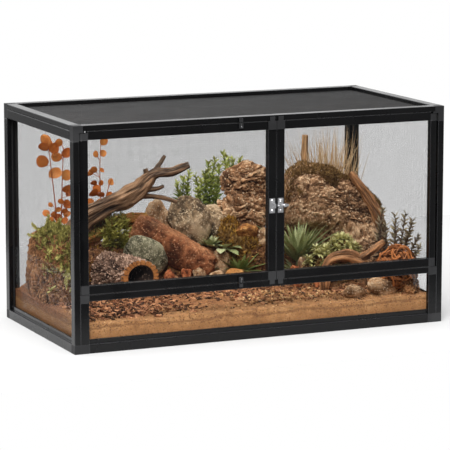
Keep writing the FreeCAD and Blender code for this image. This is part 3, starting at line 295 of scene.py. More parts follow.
def skin(points, shade=0.5, hollow=1.0, straight=None):
    """Closed surface of a batch of grids, shape (copies, rows, columns, 3), in millimetres."""
    copies, rows, columns, _ = points.shape
    count = rows * columns
    start = (np.arange(copies) * (count + 2))[:, None, None]
    row, column = np.arange(rows - 1)[:, None], np.arange(columns)[None, :]
    after = (column + 1) % columns
    here, there = start + row * columns, start + (row + 1) * columns
    quads = np.stack([here + column, here + after, there + after, there + column], axis=-1).reshape(-1, 4)
    low = start[:, :, 0]
    top = low + (rows - 1) * columns
    near = np.stack(np.broadcast_arrays(low + count, low + after, low + column), axis=-1)
    far = np.stack(np.broadcast_arrays(low + count + 1, top + column, top + after), axis=-1)

    def with_ends(values):
        flat = values.reshape(copies, count, -1)
        ends = np.stack([values[:, 0].mean(axis=1), values[:, -1].mean(axis=1)], axis=1)
        both = np.concatenate([flat, ends.reshape(copies, 2, -1)], axis=1)
        return both.reshape(copies * (count + 2), -1)

    def spread(values):
        values = np.asarray(values, float)
        values = values.reshape(values.shape + (1,) * (3 - values.ndim))
        return with_ends(np.broadcast_to(values, points.shape[:3])[..., None])[:, 0]

    place = with_ends(points)
    tris = np.concatenate([near.reshape(-1, 3), far.reshape(-1, 3)])
    return {"place": place, "quads": quads, "tris": tris, "shade": spread(shade), "hollow": spread(hollow),
            "straight": place if straight is None else with_ends(straight)}


def together(*skins):
    """Several skins as one: the corner numbers of each go up by the points before it."""
    shift = np.cumsum([0] + [len(one["place"]) for one in skins[:-1]])
    joined = {key: np.concatenate([one[key] for one in skins])
              for key in ("place", "shade", "hollow", "straight")}
    for key in ("quads", "tris"):
        joined[key] = np.concatenate([one[key] + up for one, up in zip(skins, shift)])
    return joined


def single(points, shade, hollow):
    """The skin of one grid, with a shade and a hollow for each of its points."""
    return skin(points[None], shade[None], hollow[None])


print("one unit of the grids is", MM, "m")

# %% Pieces
SHARP_FROM = math.radians(60)


def piece(name, surface, material, replaced=(), body="cage", smooth=True):
    """Puts a skin into a mesh object that rides on a body and may stand for frame nodes."""
    mesh = bpy.data.meshes.new(name)
    quads, tris = surface["quads"], surface["tris"]
    mesh.vertices.add(len(surface["place"]))
    mesh.vertices.foreach_set("co", (surface["place"] * MM).astype(np.float32).ravel())
    mesh.loops.add(quads.size + tris.size)
    corners = np.concatenate([quads.ravel(), tris.ravel()])
    mesh.loops.foreach_set("vertex_index", corners.astype(np.int32))
    sides = np.concatenate([np.full(len(quads), 4), np.full(len(tris), 3)])
    mesh.polygons.add(len(sides))
    mesh.polygons.foreach_set("loop_start", (np.cumsum(sides) - sides).astype(np.int32))
    mesh.polygons.foreach_set("use_smooth", np.full(len(sides), smooth))
    for key in ("shade", "hollow"):
        made = mesh.attributes.new(key, "FLOAT", "POINT")
        made.data.foreach_set("value", surface[key].astype(np.float32))
    straight = mesh.attributes.new("straight", "FLOAT_VECTOR", "POINT")
    straight.data.foreach_set("vector", (surface["straight"] * MM).astype(np.float32).ravel())
    mesh.update(calc_edges=True)
    mesh.validate()
    mesh.set_sharp_from_angle(angle=SHARP_FROM)
    mesh.materials.append(material)
    made = bpy.data.objects.new(name, mesh)
    scene.collection.objects.link(made)
    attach(made, body)
    if replaced:
        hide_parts(*replaced)
    print(name, "triangles:", 2 * len(quads) + len(tris))


print("edges sharper than", round(math.degrees(SHARP_FROM)), "degrees stay sharp")

# %% [markdown]
# ## Shared effects as node groups
# Several finishes need the same things: a fine grain for paint and mouldings, mottled earth colours with
# painted shade in cracks, fibres that follow a limb, and pale dust on faces that look up. Each is built
# once as a node group and placed in a material with its own values. A group puts out colours, masks and
# heights; the shader stays outside.

# %% Group helpers and the grain of paint and mouldings
NUMBER, COLOUR = "NodeSocketFloat", "NodeSocketColor"


def effect(name, takes, gives):
    """An empty group with named inputs and outputs: its tree and the sockets that come in."""
    tree = bpy.data.node_groups.new(name, "ShaderNodeTree")
    for label, start in takes.items():
        kind = COLOUR if isinstance(start, tuple) else NUMBER
        tree.interface.new_socket(label, in_out="INPUT", socket_type=kind).default_value = start
    for label, kind in gives.items():
        tree.interface.new_socket(label, in_out="OUTPUT", socket_type=kind)
    return tree, tree.nodes.new("NodeGroupInput").outputs


def give(tree, **results):
    """Links results to the outputs of a group."""
    ends = tree.nodes.new("NodeGroupOutput").inputs
    for label, socket in results.items():
        tree.links.new(socket, ends[label])
    print("group", tree.name, "has", len(tree.nodes), "nodes")


def place_on(tree):
    """The place of a shading point in the object's own axes, in metres."""
    return add(tree, "TexCoord").outputs["Object"]


def noise(tree, where, scale, detail):
    """The value socket of one noise texture."""
    return add(tree, "TexNoise", {"Vector": where, "Scale": scale, "Detail": detail}).outputs["Fac"]


grain, grain_in = effect("fine_grain", {"Scale": 900.0, "Dull": 0.5, "Shiny": 0.3},
                         {"Height": NUMBER, "Roughness": NUMBER, "Cloud": NUMBER})
where = place_on(grain)
fine = noise(grain, where, grain_in["Scale"], 2.0)
cloud = ramp(grain, noise(grain, where, 11.0, 4.0), 0.35, 0.65)
gloss = {0: cloud, 2: grain_in["Shiny"], 3: grain_in["Dull"]}
dulled = add(grain, "Mix", gloss, data_type="FLOAT").outputs[0]
give(grain, Height=fine, Roughness=dulled, Cloud=cloud)

# %% Dust on faces that look up
dust, dust_in = effect("settled_dust", {"Color": (0.5, 0.5, 0.5, 1.0), "Dust": (0.5, 0.4, 0.3, 1.0),
                                        "Share": 0.3}, {"Color": COLOUR, "Mask": NUMBER})
upward = add(dust, "SeparateXYZ", {0: add(dust, "NewGeometry").outputs["Normal"]}).outputs["Z"]
patchy = ramp(dust, noise(dust, place_on(dust), 38.0, 4.0), 0.35, 0.7)
settled = times(dust, ramp(dust, upward, 0.25, 0.95), patchy)
settled = calc(dust, "MULTIPLY", settled, dust_in["Share"], clamp=True)
give(dust, Color=mixed(dust, settled, dust_in["Color"], dust_in["Dust"]), Mask=settled)

# %% Mottled earth colours
def carried(tree, name):
    """A number that rides on the mesh as an attribute."""
    return add(tree, "Attribute", attribute_name=name).outputs["Fac"]


def cracked(tree, colour, deepest):
    """Painted shade: the colour darkened by `hollow`, down to a given share in the deepest cracks."""
    share = ramp(tree, carried(tree, "hollow"), 0.0, 1.0, deepest, 1.0, "LINEAR")
    grey = add(tree, "CombineColor", {0: share, 1: share, 2: share}).outputs[0]
    return mixed(tree, 1.0, colour, grey, "MULTIPLY")


earth, earth_in = effect(
    "mottled_earth",
    {"Dark": (0.05, 0.03, 0.02, 1.0), "Mid": (0.2, 0.12, 0.08, 1.0), "Light": (0.5, 0.35, 0.25, 1.0),
     "Fleck": (0.8, 0.7, 0.6, 1.0), "Scale": 40.0, "Fleck Scale": 300.0, "Fleck Share": 0.1,
     "Crack Shade": 0.3}, {"Color": COLOUR, "Height": NUMBER})
where = place_on(earth)
broad = noise(earth, where, earth_in["Scale"], 5.0)
close = noise(earth, where, times(earth, earth_in["Scale"], 7.0), 4.0)
blend = calc(earth, "MULTIPLY_ADD", broad, 0.9, -0.45)
blend = calc(earth, "MULTIPLY_ADD", close, 0.8, calc(earth, "SUBTRACT", blend, 0.4))
blend = calc(earth, "ADD", blend, carried(earth, "shade"))
lower = mixed(earth, ramp(earth, blend, 0.1, 0.5), earth_in["Dark"], earth_in["Mid"])
colour = mixed(earth, ramp(earth, blend, 0.5, 0.95), lower, earth_in["Light"])
fleck = add(earth, "TexVoronoi", {"Vector": where, "Scale": earth_in["Fleck Scale"]}).outputs
picked = add(earth, "SeparateColor", {0: fleck["Color"]}).outputs[0]
flecked = calc(earth, "LESS_THAN", picked, earth_in["Fleck Share"])
colour = cracked(earth, mixed(earth, flecked, colour, earth_in["Fleck"]), earth_in["Crack Shade"])
height = calc(earth, "MULTIPLY_ADD", close, 0.7, times(earth, fleck["Distance"], 0.3))
give(earth, Color=colour, Height=height)

# %% Fibres along a limb
fibre, fibre_in = effect(
    "limb_fibres", {"Dark": (0.05, 0.03, 0.02, 1.0), "Light": (0.4, 0.3, 0.2, 1.0), "Across": 220.0,
                    "Along": 14.0, "Crack Shade": 0.35}, {"Color": COLOUR, "Height": NUMBER})
straight = add(fibre, "Attribute", attribute_name="straight").outputs["Vector"]
across = fibre_in["Across"]
stretch = add(fibre, "CombineXYZ", {0: across, 1: across, 2: fibre_in["Along"]}).outputs[0]
strand_place = add(fibre, "VectorMath", {0: straight, 1: stretch}, operation="MULTIPLY").outputs["Vector"]
strand = noise(fibre, strand_place, 1.0, 4.0)
uneven = calc(fibre, "MULTIPLY_ADD", carried(fibre, "shade"), 0.4, -0.2)
lit = ramp(fibre, calc(fibre, "ADD", strand, uneven), 0.28, 0.72)
colour = mixed(fibre, lit, fibre_in["Dark"], fibre_in["Light"])
give(fibre, Color=cracked(fibre, colour, fibre_in["Crack Shade"]), Height=strand)

# %% [markdown]
# ## Finishes of the cage
# The profiles are powder coated: satin black with a very fine grain and faint clouds in the gloss, and a
# thin paler line is painted along every edge as a highlight. The corner mouldings are a lighter, coarser
# grained plastic. The latch is bright plated steel, and the panels are clear acrylic, thin enough that
# most light goes straight through. Plain values sit on the shader's own sockets, and only what changes
# over the surface comes from the groups.

# %% Material helpers
# Screen tone of the highlight painted along edges.
EDGE_HIGHLIGHT = (66, 66, 68)


def placed(tree, group, **values):
    """A group placed in a material with its own values; _ stands for a space in a socket's name."""
    made = add(tree, "Group", node_tree=group)
    for label, value in values.items():
        fill(tree, made, label.replace("_", " "), value)
    return made.outputs


def bump(tree, shader, height, strength, depth_mm):
    """A Bump node from a height to the shader's normal."""
    made = add(tree, "Bump", {"Height": height, "Strength": strength, "Distance": depth_mm * MM})
    tree.links.new(made.outputs["Normal"], shader.inputs["Normal"])
    return made


def moulded(name, dark, light, scale, dull, shiny, depth_mm, edge_mm=0.0, **plain):
    """Paint or plastic: two close colours in clouds, grained gloss and a fine bump. With `edge_mm` the
    edges look rounded, and a thin paler line is painted along them as a highlight."""
    material, tree, shader = finish_for(name, **plain)
    made = placed(tree, grain, Scale=scale, Dull=dull, Shiny=shiny)
    colour = mixed(tree, made["Cloud"], dark, light)
    tree.links.new(made["Roughness"], shader.inputs["Roughness"])
    grained = bump(tree, shader, made["Height"], 0.35, depth_mm)
    if edge_mm:
        rounded = add(tree, "Bevel", {"Radius": edge_mm * MM}, samples=8).outputs["Normal"]
        tree.links.new(rounded, grained.inputs["Normal"])
        agree = agreement(tree, rounded, add(tree, "NewGeometry").outputs["Normal"])
        # Painted highlight: a paler colour where the rounded normal turns from the true one, along every
        # edge.
        colour = mixed(tree, ramp(tree, agree, 0.9, 0.75), colour, tone(*EDGE_HIGHLIGHT))
    tree.links.new(colour, shader.inputs["Base Color"])
    return material


# The paler line along edges is a painted highlight.
print("worn edges have the screen tone", EDGE_HIGHLIGHT)

# %% Frame finishes
coat_black = moulded("satin_black_coat", tone(7, 7, 8), tone(12, 12, 13), 1400.0, 0.3, 0.22, 0.04, 3.0,
                     Specular_IOR_Level=0.3)
moulded_grey = moulded("moulded_grey", tone(42, 42, 43), tone(52, 52, 53), 700.0, 0.6, 0.5, 0.1,
                       Specular_IOR_Level=0.12)
strip_black = moulded("matt_strip", tone(17, 17, 17), tone(24, 24, 24), 500.0, 0.9, 0.75, 0.1)
base_black = moulded("base_black", tone(20, 20, 21), tone(30, 30, 31), 300.0, 0.8, 0.6, 0.1)
wire_black = moulded("wire_black", tone(16, 16, 17), tone(26, 26, 27), 2000.0, 0.9, 0.8, 0.01,
                     Specular_IOR_Level=0.04)
lid_wire = moulded("lid_wire_black", tone(18, 18, 19), tone(28, 28, 29), 2000.0, 0.6, 0.45, 0.01)
plated_steel = moulded("plated_steel", (0.86, 0.86, 0.87, 1), (0.74, 0.74, 0.76, 1), 260.0, 0.34, 0.2,
                       0.02, Metallic=0.9)
pin_steel = moulded("pin_steel", (0.1, 0.1, 0.1, 1), (0.06, 0.06, 0.06, 1), 900.0, 0.5, 0.4, 0.02,
                    Metallic=1.0)
acrylic, tree, shader = finish_for("clear_acrylic", Transmission_Weight=1.0, IOR=1.49, Alpha=0.06,
                                   Base_Color=(0.97, 0.985, 0.98, 1))
wiped = placed(tree, grain, Scale=60.0, Dull=0.02, Shiny=0.005)
tree.links.new(wiped["Roughness"], shader.inputs["Roughness"])
print("finishes so far:", len(bpy.data.materials))

# %% Finish by slot
slot_finish = {"frame_black": coat_black, "connector_grey": moulded_grey, "strip_black": strip_black,
               "floor_black": base_black, "mesh_black": wire_black, "steel": plated_steel,
               "pin_steel": pin_steel, "clear_panel": acrylic}
for row in frame["record"]["subparts"]:
    mesh = nodes[row["node"]].data
    mesh.materials.clear()
    mesh.materials.append(slot_finish.get(row["material_slot"], base_black))
print("finished nodes by slot:", sorted(slot_finish))

# %% [markdown]
# ## Woven screens
# Each screen is a fine weave of black wire, 1.2 to 1.5 millimetres from wire to wire, so at this distance
# it is a grey veil. A picture or a see-through material could fake it, but real wires also look right
# close up and from the side, where the veil closes. Each wire is a straight four-sided rod, and the two
# directions lie in two layers that touch, because the weave's waves are far too small to see.

# %% Wires of the screens
WIRE_ACROSS = np.array([(1, 0), (0, 1), (-1, 0), (0, -1)])


def wires(low, high, run, side, face, layer, pitch, thick):
    """Rods along axis `run`, spread along axis `side`, in one layer of the sheet's thickness `face`."""
    count = int((high[side] - low[side]) // pitch)
    first = (low[side] + high[side] - (count - 1) * pitch) / 2
    rods = np.zeros((count, 2, 4, 3))
    rods[..., run] = np.array([low[run], high[run]])[None, :, None]
    rods[..., side] = (first + pitch * np.arange(count))[:, None, None] + WIRE_ACROSS[:, 0] * thick / 2
    rods[..., face] = (low[face] + high[face]) / 2 + layer * thick / 2 + WIRE_ACROSS[:, 1] * thick / 2
    right_handed = (side + 1) % 3 == face
    return skin(rods if right_handed == ((face + 1) % 3 == run) else rods[:, :, ::-1])


def screen(name, node, body, face, pitch, thick, finish=wire_black):
    """Two touching layers of wires that fill a sheet node."""
    low, high = (np.array(corner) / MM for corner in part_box(node))
    one, two = [axis for axis in range(3) if axis != face]
    surface = together(wires(low, high, one, two, face, -1, pitch, thick),
                       wires(low, high, two, one, face, 1, pitch, thick))
    piece(name, surface, finish, [node], body, smooth=False)


AXIS_X, AXIS_Y, AXIS_Z = 0, 1, 2
OPEN_WEAVE, BACK_WEAVE, SIDE_WEAVE = (1.5, 0.255), (1.2, 0.204), (1.3, 0.1)
screen("left_door_screen", "left_door_mesh", "left_door", AXIS_Y, *OPEN_WEAVE)
screen("right_door_screen", "right_door_mesh", "right_door", AXIS_Y, *OPEN_WEAVE)
screen("back_screen", "back_mesh", "cage", AXIS_Y, *BACK_WEAVE)
screen("left_screen", "side_mesh_left", "cage", AXIS_X, *SIDE_WEAVE)
screen("right_screen", "side_mesh_right", "cage", AXIS_X, *SIDE_WEAVE)
screen("lid_screen", "lid_mesh", "lid", AXIS_Z, *OPEN_WEAVE, lid_wire)

# %% [markdown]
# ## Sand bed and soil bank
# The bedding is a thick layer of tan sand that rises towards the back, where a bank of brown soil carries
# the larger pieces. Through the clear front panel the sand shows its layers. Both are made as a closed
# outline carried from the left side to the right: the outline's top is the height of the ground, with
# noise for ripples and lumps. The bank ends a little inside the sand's own faces, because two faces in
# one place would fight for the same pixels.

# %% Height of the ground
BED_Y, BED_Z = (-211.3, -41.3, 208.7), (62, 66, 128)
LEFT_END, LEFT_BACK = (-425.0, -335.0), 68
BANK_LEFT, BANK_Y, BANK_Z = -327.7, (60, 78, 112, 208.4), (80, 100, 162, 166)
BANK_ROUNDING, BANK_SINK = 60, 6


def level_places(x, y):
    """Places on the plane z = 0."""
    return np.stack([x, y, 0 * x], axis=-1)


def bed_level(x, y):
    """Height of even sand: straight runs between three levels, but nearly flat at the left end."""
    back = np.interp(x, LEFT_END, (LEFT_BACK, BED_Z[2]))
    rise = clipped((y - BED_Y[1]) / (BED_Y[2] - BED_Y[1]))
    return np.interp(y, BED_Y[:2], BED_Z[:2]) + (back - BED_Z[1]) * rise


def bed_top(x, y):
    """Height of the sand with broad and fine ripples."""
    where = level_places(x, y)
    ripples = 2.6 * rough(where, 60, 3, 3) + 1.2 * rough(where, 14, 2, 4)
    return bed_level(x, y) + ripples


def bank_top(x, y):
    """Height of the soil: a steep front and a flat top, rounded off at its left end, with lumps."""
    lumps = 5 * rough(level_places(x, y), 45, 4, 8)
    end = clipped((x - BANK_LEFT) / BANK_ROUNDING)
    below = bed_level(x, y) - BANK_SINK
    return below + (np.interp(y, BANK_Y, BANK_Z) - below + lumps) * np.sqrt(end * (2 - end))


def ground(x, y):
    """The height that shows: the higher of sand and soil."""
    x, y = np.broadcast_arrays(np.asarray(x, float), np.asarray(y, float))
    soil = np.where((x > BANK_LEFT) & (y > BANK_Y[0]), bank_top(x, y), 0)
    return np.maximum(bed_top(x, y), soil)


print("ground at the front, middle and back:", ground(np.zeros(3), np.array([-200.0, 0.0, 180.0])).round(1))

# %% Block of bedding
WALL_ROWS, FOOT_STEPS = 10, 6


def heap_of(low, high, height, grid):
    """A block whose top is height(x, y): a closed outline, back, top, front and foot, at each station
    along x; `grid` counts the stations and the steps across."""
    x = np.linspace(low[0], high[0], grid[0])[:, None]
    y = np.linspace(high[1], low[1], grid[1])[None, :]
    top_z = height(x + 0 * y, y + 0 * x)
    up = np.linspace(0, 1, WALL_ROWS, endpoint=False)[None, :]
    back_z = low[2] + (top_z[:, :1] - low[2]) * up
    front_z = low[2] + (top_z[:, -1:] - low[2]) * (1 - up - 1 / WALL_ROWS)
    foot_y = np.linspace(low[1], high[1], FOOT_STEPS)[None, 1:-1] + 0 * x
    outline_y = np.concatenate([0 * back_z + high[1], y + 0 * x, 0 * front_z + low[1], foot_y], axis=1)
    outline_z = np.concatenate([back_z, top_z, front_z, low[2] + 0 * foot_y], axis=1)
    points = np.stack([x + 0 * outline_y, outline_y, outline_z], axis=-1)[None]
    return skin(points, hollow=clipped(0.55 + 0.6 * rough(points, 9, 3, 5)))


print("a wall of bedding has", WALL_ROWS, "rows")

# %% Earth finishes
EARTH_DUST = (168, 132, 96)


def mottled(tree, dark, mid, light, fleck, scale, fleck_scale, share, crack):
    """The outputs of the mottled group, given screen colours, noise scales and the share of flecks."""
    return placed(tree, earth, Dark=tone(*dark), Mid=tone(*mid), Light=tone(*light), Fleck=tone(*fleck),
                  Scale=scale, Fleck_Scale=fleck_scale, Fleck_Share=share, Crack_Shade=crack)


def earthy(name, dark, mid, light, fleck, scale, fleck_scale, share, crack=0.35, depth_mm=0.8,
           dusty=0.0, dust_tone=EARTH_DUST, change=None):
    """A dull earth finish from the mottled group, with dust on top and a bump from its grains. A function
    `change` may alter the colour last."""
    material, tree, shader = finish_for(name, Roughness=0.9, Specular_IOR_Level=0.25)
    made = mottled(tree, dark, mid, light, fleck, scale, fleck_scale, share, crack)
    colour = made["Color"]
    if dusty:
        colour = placed(tree, dust, Color=colour, Dust=tone(*dust_tone), Share=dusty)["Color"]
    if change:
        colour = change(tree, colour)
    tree.links.new(colour, shader.inputs["Base Color"])
    bump(tree, shader, made["Height"], 0.8, depth_mm)
    return material


print("dust on earth has the screen tone", EARTH_DUST)

# %% [markdown]
# The sand has more than one colour. In its section there is a darker band low down and, just under the
# front top, a thin dark line painted as the shadow along the sand's front edge; both are bands of height
# made uneven by noise. On top it turns redder towards the back. Each band is the product of a rising and
# a falling step.

# %% Finishes of sand and soil
# A darker band low in the sand's section.
LOW_DARK_BAND, LOW_DARK_SHARE, LOW_DARK_TONE = (0.036, 0.044, 0.05, 0.062), 0.55, (136, 94, 56)
# Painted shadow: a thin dark line along the sand's front edge.
SHADOW_LINE, SHADOW_LINE_SHARE, SHADOW_LINE_TONE = (0.0585, 0.0625, 0.0635, 0.0675), 0.62, (104, 68, 40)
RED_BACK, RED_ABOVE, RED_SHARE = (-0.17, 0.02), (0.05, 0.058), 0.75


def band(tree, value, low, full, fading, high):
    """1 between two levels of a value, with a smooth step to 0 on both sides."""
    return times(tree, ramp(tree, value, low, full), ramp(tree, value, high, fading))


def layered(tree, colour):
    """The darker low band, the painted shadow line and the redder back over the sand's own colour."""
    where = place_on(tree)
    part = add(tree, "SeparateXYZ", {0: where}).outputs
    uneven = noise(tree, where, 16.0, 4.0)
    level = calc(tree, "MULTIPLY_ADD", uneven, 0.022, part["Z"])
    low_dark = times(tree, band(tree, level, *LOW_DARK_BAND), LOW_DARK_SHARE)
    # Painted shadow: the thin dark line along the sand's front edge.
    line = times(tree, band(tree, level, *SHADOW_LINE), SHADOW_LINE_SHARE)
    colour = mixed(tree, line, mixed(tree, low_dark, colour, tone(*LOW_DARK_TONE)), tone(*SHADOW_LINE_TONE))
    inward = calc(tree, "MULTIPLY_ADD", uneven, 0.09, part["Y"])
    redder = times(tree, ramp(tree, inward, *RED_BACK), RED_SHARE)
    topped = times(tree, redder, ramp(tree, part["Z"], *RED_ABOVE))
    red_sand = mottled(tree, (98, 58, 35), (140, 88, 54), (178, 122, 79), (78, 46, 28), 26.0, 520.0, 0.16,
                       0.6)
    return mixed(tree, topped, colour, red_sand["Color"])


sand = earthy("layered_sand", (130, 89, 55), (165, 119, 76), (198, 153, 105), (100, 63, 39), 26.0, 520.0,
              0.14, 0.6, change=layered)
soil = earthy("crumbly_soil", (58, 34, 20), (118, 74, 44), (164, 110, 66), (184, 134, 84), 60.0, 420.0,
              0.1, 0.35, dusty=0.25)
print("finishes:", sand.name, soil.name)

# %% Sand bed and soil bank
SET_IN, BANK_FOOT = 1.5, 30
sand_low, sand_high = (np.array(corner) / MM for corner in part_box("sand_bed"))
_, bank_high = (np.array(corner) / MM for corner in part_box("soil_bank"))
bank_low, bank_high = (BANK_LEFT, BANK_Y[0], BANK_FOOT), bank_high - (SET_IN, SET_IN, 0)
piece("sand_bed_top", heap_of(sand_low, sand_high, bed_top, (240, 120)), sand, ["sand_bed"])
piece("soil_bank_top", heap_of(bank_low, bank_high, bank_top, (260, 80)), soil, ["soil_bank"])

# %% [markdown]
# ## Bark chips and grit
# The sand is strewn with red-brown bark chips and some grit, thick on the left and in patches, thin along
# the front. A chip is a flat six-sided flake with an uneven outline. All chips are one array: each copy
# gets its own size, turn, tilt and place, and its foot rests on the ground below it.

# %% Flakes
FLAKE_SIDES, FLAKE_LIFT = 6, 0.3
FLAKE_REACH, FLAKE_LEVEL = np.array((0.8, 1.0, 0.75)), np.array((-0.5, 0.05, 0.5))


def turned(points, heading, tilt, roll):
    """Copies turned by a roll about their length, a tilt about their side and a heading about the
    upright."""
    ch, sh, ct, st, cr, sr = (f(a)[:, None, None] for a in (heading, tilt, roll) for f in (np.cos, np.sin))
    x, y, z = points[..., 0], points[..., 1], points[..., 2]
    y, z = y * cr - z * sr, y * sr + z * cr
    x, z = x * ct - z * st, x * st + z * ct
    return np.stack([x * ch - y * sh, x * sh + y * ch, z], axis=-1)


def flakes(x, y, long, wide, thick, seed, lean=0.25):
    """Flat six-sided flakes: three rings, the middle one widest, each corner's reach drawn at random."""
    draw = np.random.default_rng(seed)
    count = len(x)
    angle = np.arange(FLAKE_SIDES) * math.pi / (FLAKE_SIDES / 2)
    reach = draw.uniform(0.6, 1.15, (count, 1, FLAKE_SIDES)) * FLAKE_REACH[None, :, None]
    level = FLAKE_LEVEL[None, :, None] + draw.uniform(-0.12, 0.12, (count, 3, FLAKE_SIDES))
    points = np.stack([reach * np.cos(angle) * long[:, None, None] / 2,
                       reach * np.sin(angle) * wide[:, None, None] / 2,
                       level * thick[:, None, None]], axis=-1)
    heading = draw.uniform(0, 2 * math.pi, count)
    points = turned(points, heading, draw.normal(0, lean, count), draw.normal(0, lean, count))
    base = np.stack([x, y, ground(x, y) + FLAKE_LIFT * thick], axis=-1)
    return skin(points + base[:, None, None], shade=draw.uniform(-0.2, 1.1, count))


def strewn(count, low, high, seed):
    """Places drawn evenly over a rectangle, and the generator that drew them."""
    draw = np.random.default_rng(seed)
    return draw.uniform(low[0], high[0], count), draw.uniform(low[1], high[1], count), draw


def chips(count, low, high, long, wide, thick, seed, lean=0.25, fade=90.0, bare=0.0):
    """Flakes drawn over a rectangle, fewer towards its front edge and on bare patches, with sizes between
    limits."""
    x, y, draw = strewn(count, low, high, seed)
    patches = clipped(0.35 + 2.2 * rough(level_places(x, y), 62, 2, seed))
    keep = (y - low[1]) / fade + 0.08 - bare * patches > draw.uniform(0, 1, count)
    sizes = [draw.uniform(*limits, count)[keep] for limits in (long, wide, thick)]
    return flakes(x[keep], y[keep], *sizes, seed + 1, lean)


bark_chip = earthy("bark_chip", (40, 23, 14), (112, 68, 44), (178, 125, 88), (204, 158, 114), 90.0, 500.0,
                   0.05, 0.5)
grit = earthy("grit", (100, 66, 38), (172, 126, 78), (218, 180, 130), (74, 46, 30), 90.0, 500.0, 0.08, 0.6)
print("finishes:", bark_chip.name, grit.name)

# %% Chips on the sand
sand_chips = together(
    chips(760, (-407, -190), (-225, 75), (12, 34), (6, 15), (2.0, 4.8), 21, 0.42, fade=38.0),
    chips(950, (-250, -190), (40, 75), (9, 28), (5, 12), (1.6, 4.2), 22, 0.36, bare=1.1),
    chips(1250, (20, -190), (414, 70), (4, 20), (3, 10), (1.2, 3.6), 23, bare=0.9))
piece("chips_on_sand", sand_chips, bark_chip, smooth=False)

# %% Grit, coarser in the middle
GRIT_COUNT, DENSE_FROM, SPARSE_SHARE = 2200, 60, 0.5
COARSE_X, COARSE_Y, COARSE_HALF, COARSER = 95, -105, (130, 62), 2.3
grit_x, grit_y, draw = strewn(GRIT_COUNT, (-423, -204), (423, 60), 25)
keep = (grit_x > DENSE_FROM) | (draw.uniform(0, 1, GRIT_COUNT) < SPARSE_SHARE)
grit_x, grit_y = grit_x[keep], grit_y[keep]
coarse = (np.abs(grit_x - COARSE_X) < COARSE_HALF[0]) & (np.abs(grit_y - COARSE_Y) < COARSE_HALF[1])
size = draw.uniform(1.5, 4.5, len(grit_x)) * np.where(coarse, COARSER, 1.0)
piece("grit_on_sand", flakes(grit_x, grit_y, size, size * 0.8, size * 0.6, 26), grit, smooth=False)

# %% Chips on the bank
bank_chips = chips(1900, (-315, 62), (414, 195), (5, 20), (3, 10), (1, 3.2), 27, 0.4)
piece("chips_on_bank", bank_chips, bark_chip, smooth=False)

# %% [markdown]
# ## Stones
# The stones are worn blocks with a few broad faces. One way is to start from a ball and cut it by planes.
# The same shape has a formula: in each direction the surface lies where the nearest of a set of tilted
# planes is met, and a power mean in place of the nearest rounds the edges. Noise then roughens it, and
# the result is fitted into the stone's own box, its foot sunk a little into the ground.

# %% Stone shape
POLE_GAP, PLANE_NEAR, PLANE_FAR, REACH_LIMIT = 0.05, 0.72, 1.0, 1.25


def globe(rows, columns):
    """Directions of a ball on a grid: rows from the lowest ring to the highest, columns round the
    upright."""
    fall = np.linspace(POLE_GAP, math.pi - POLE_GAP, rows)[:, None]
    turn = (2 * math.pi * np.arange(columns) / columns)[None, :]
    return np.stack([np.sin(fall) * np.cos(turn), np.sin(fall) * np.sin(turn), -np.cos(fall) + 0 * turn],
                    axis=-1)


def unit(vectors):
    """Vectors of length one."""
    return vectors / np.maximum(np.linalg.norm(vectors, axis=-1, keepdims=True), 1e-9)


def fitted(points, centre, size):
    """Moves and stretches points so that their box has the given centre and size."""
    low, high = points.min(axis=(0, 1)), points.max(axis=(0, 1))
    return (points - (low + high) / 2) / (high - low) * np.array(size) + np.array(centre)


def faceted(way, planes, edge, seed):
    """A block met by tilted planes: each direction ends at the nearest one, and a power mean rounds the
    edges."""
    draw = np.random.default_rng(seed)
    faces = unit(draw.normal(size=(planes, 3)))
    far = draw.uniform(PLANE_NEAR, PLANE_FAR, planes)
    meet = np.maximum(way @ faces.T, 0) / far
    return way * np.minimum((meet ** edge).sum(axis=-1) ** (-1 / edge), REACH_LIMIT)[..., None]


def stone(place, size, top, seed, planes=16, edge=14, coarse=0.06, grid=(44, 64), sink=7, rest_on=None):
    """A faceted block with coarse and fine noise, its foot sunk into the ground or into what it rests
    on."""
    ball = faceted(globe(*grid), planes, edge, seed)
    broad = rough(ball + seed, 0.5, 3, seed)
    fine = rough(ball + seed, 0.11, 3, seed + 1)
    ball = ball * (1 + coarse * broad + 0.4 * coarse * fine)[..., None]
    base = (float(ground(*place)) if rest_on is None else rest_on) - sink
    points = fitted(ball, (*place, (base + top) / 2), (*size, top - base))
    # `hollow` is low in the noise's dips, which the finish darkens as painted shade.
    return single(points, clipped(0.5 + 0.5 * broad), clipped(0.7 + 0.9 * fine + 0.5 * broad))


def rocks(name, finish, slot, *stones):
    """A piece of several stones that stands for some of the frame's rocks."""
    piece(name, together(*stones), finish, ["rocks"])


print("a ball of", globe(44, 64).shape[:2], "points starts each stone")

# %% Stone finishes
grey_stone = earthy("grey_stone", (92, 74, 54), (146, 120, 90), (194, 168, 134), (216, 192, 158), 44.0,
                    380.0, 0.14, 0.4, depth_mm=1.2, dusty=0.15)
green_stone = earthy("grey_green_stone", (78, 76, 58), (132, 128, 100), (176, 170, 138), (206, 196, 164),
                     60.0, 420.0, 0.2, 0.5, depth_mm=0.9, dusty=0.1)
tan_stone = earthy("tan_stone", (134, 96, 64), (188, 146, 106), (220, 184, 144), (230, 204, 170), 48.0,
                   420.0, 0.12, 0.5, depth_mm=0.9, dusty=0.2)
red_stone = earthy("red_stone", (112, 56, 30), (178, 98, 58), (208, 138, 92), (140, 72, 42), 55.0, 420.0,
                   0.1, 0.5)
ochre_stone = earthy("ochre_stone", (136, 82, 40), (194, 132, 70), (216, 164, 100), (156, 98, 54), 50.0,
                     420.0, 0.1, 0.5)
slab_stone = earthy("slab_stone", (98, 54, 32), (160, 98, 62), (200, 138, 94), (212, 156, 114), 30.0, 420.0,
                    0.07, 0.4, depth_mm=1.4, dusty=0.3, dust_tone=(196, 142, 100))
print("stone finishes:", [made.name for made in bpy.data.materials if "stone" in made.name])

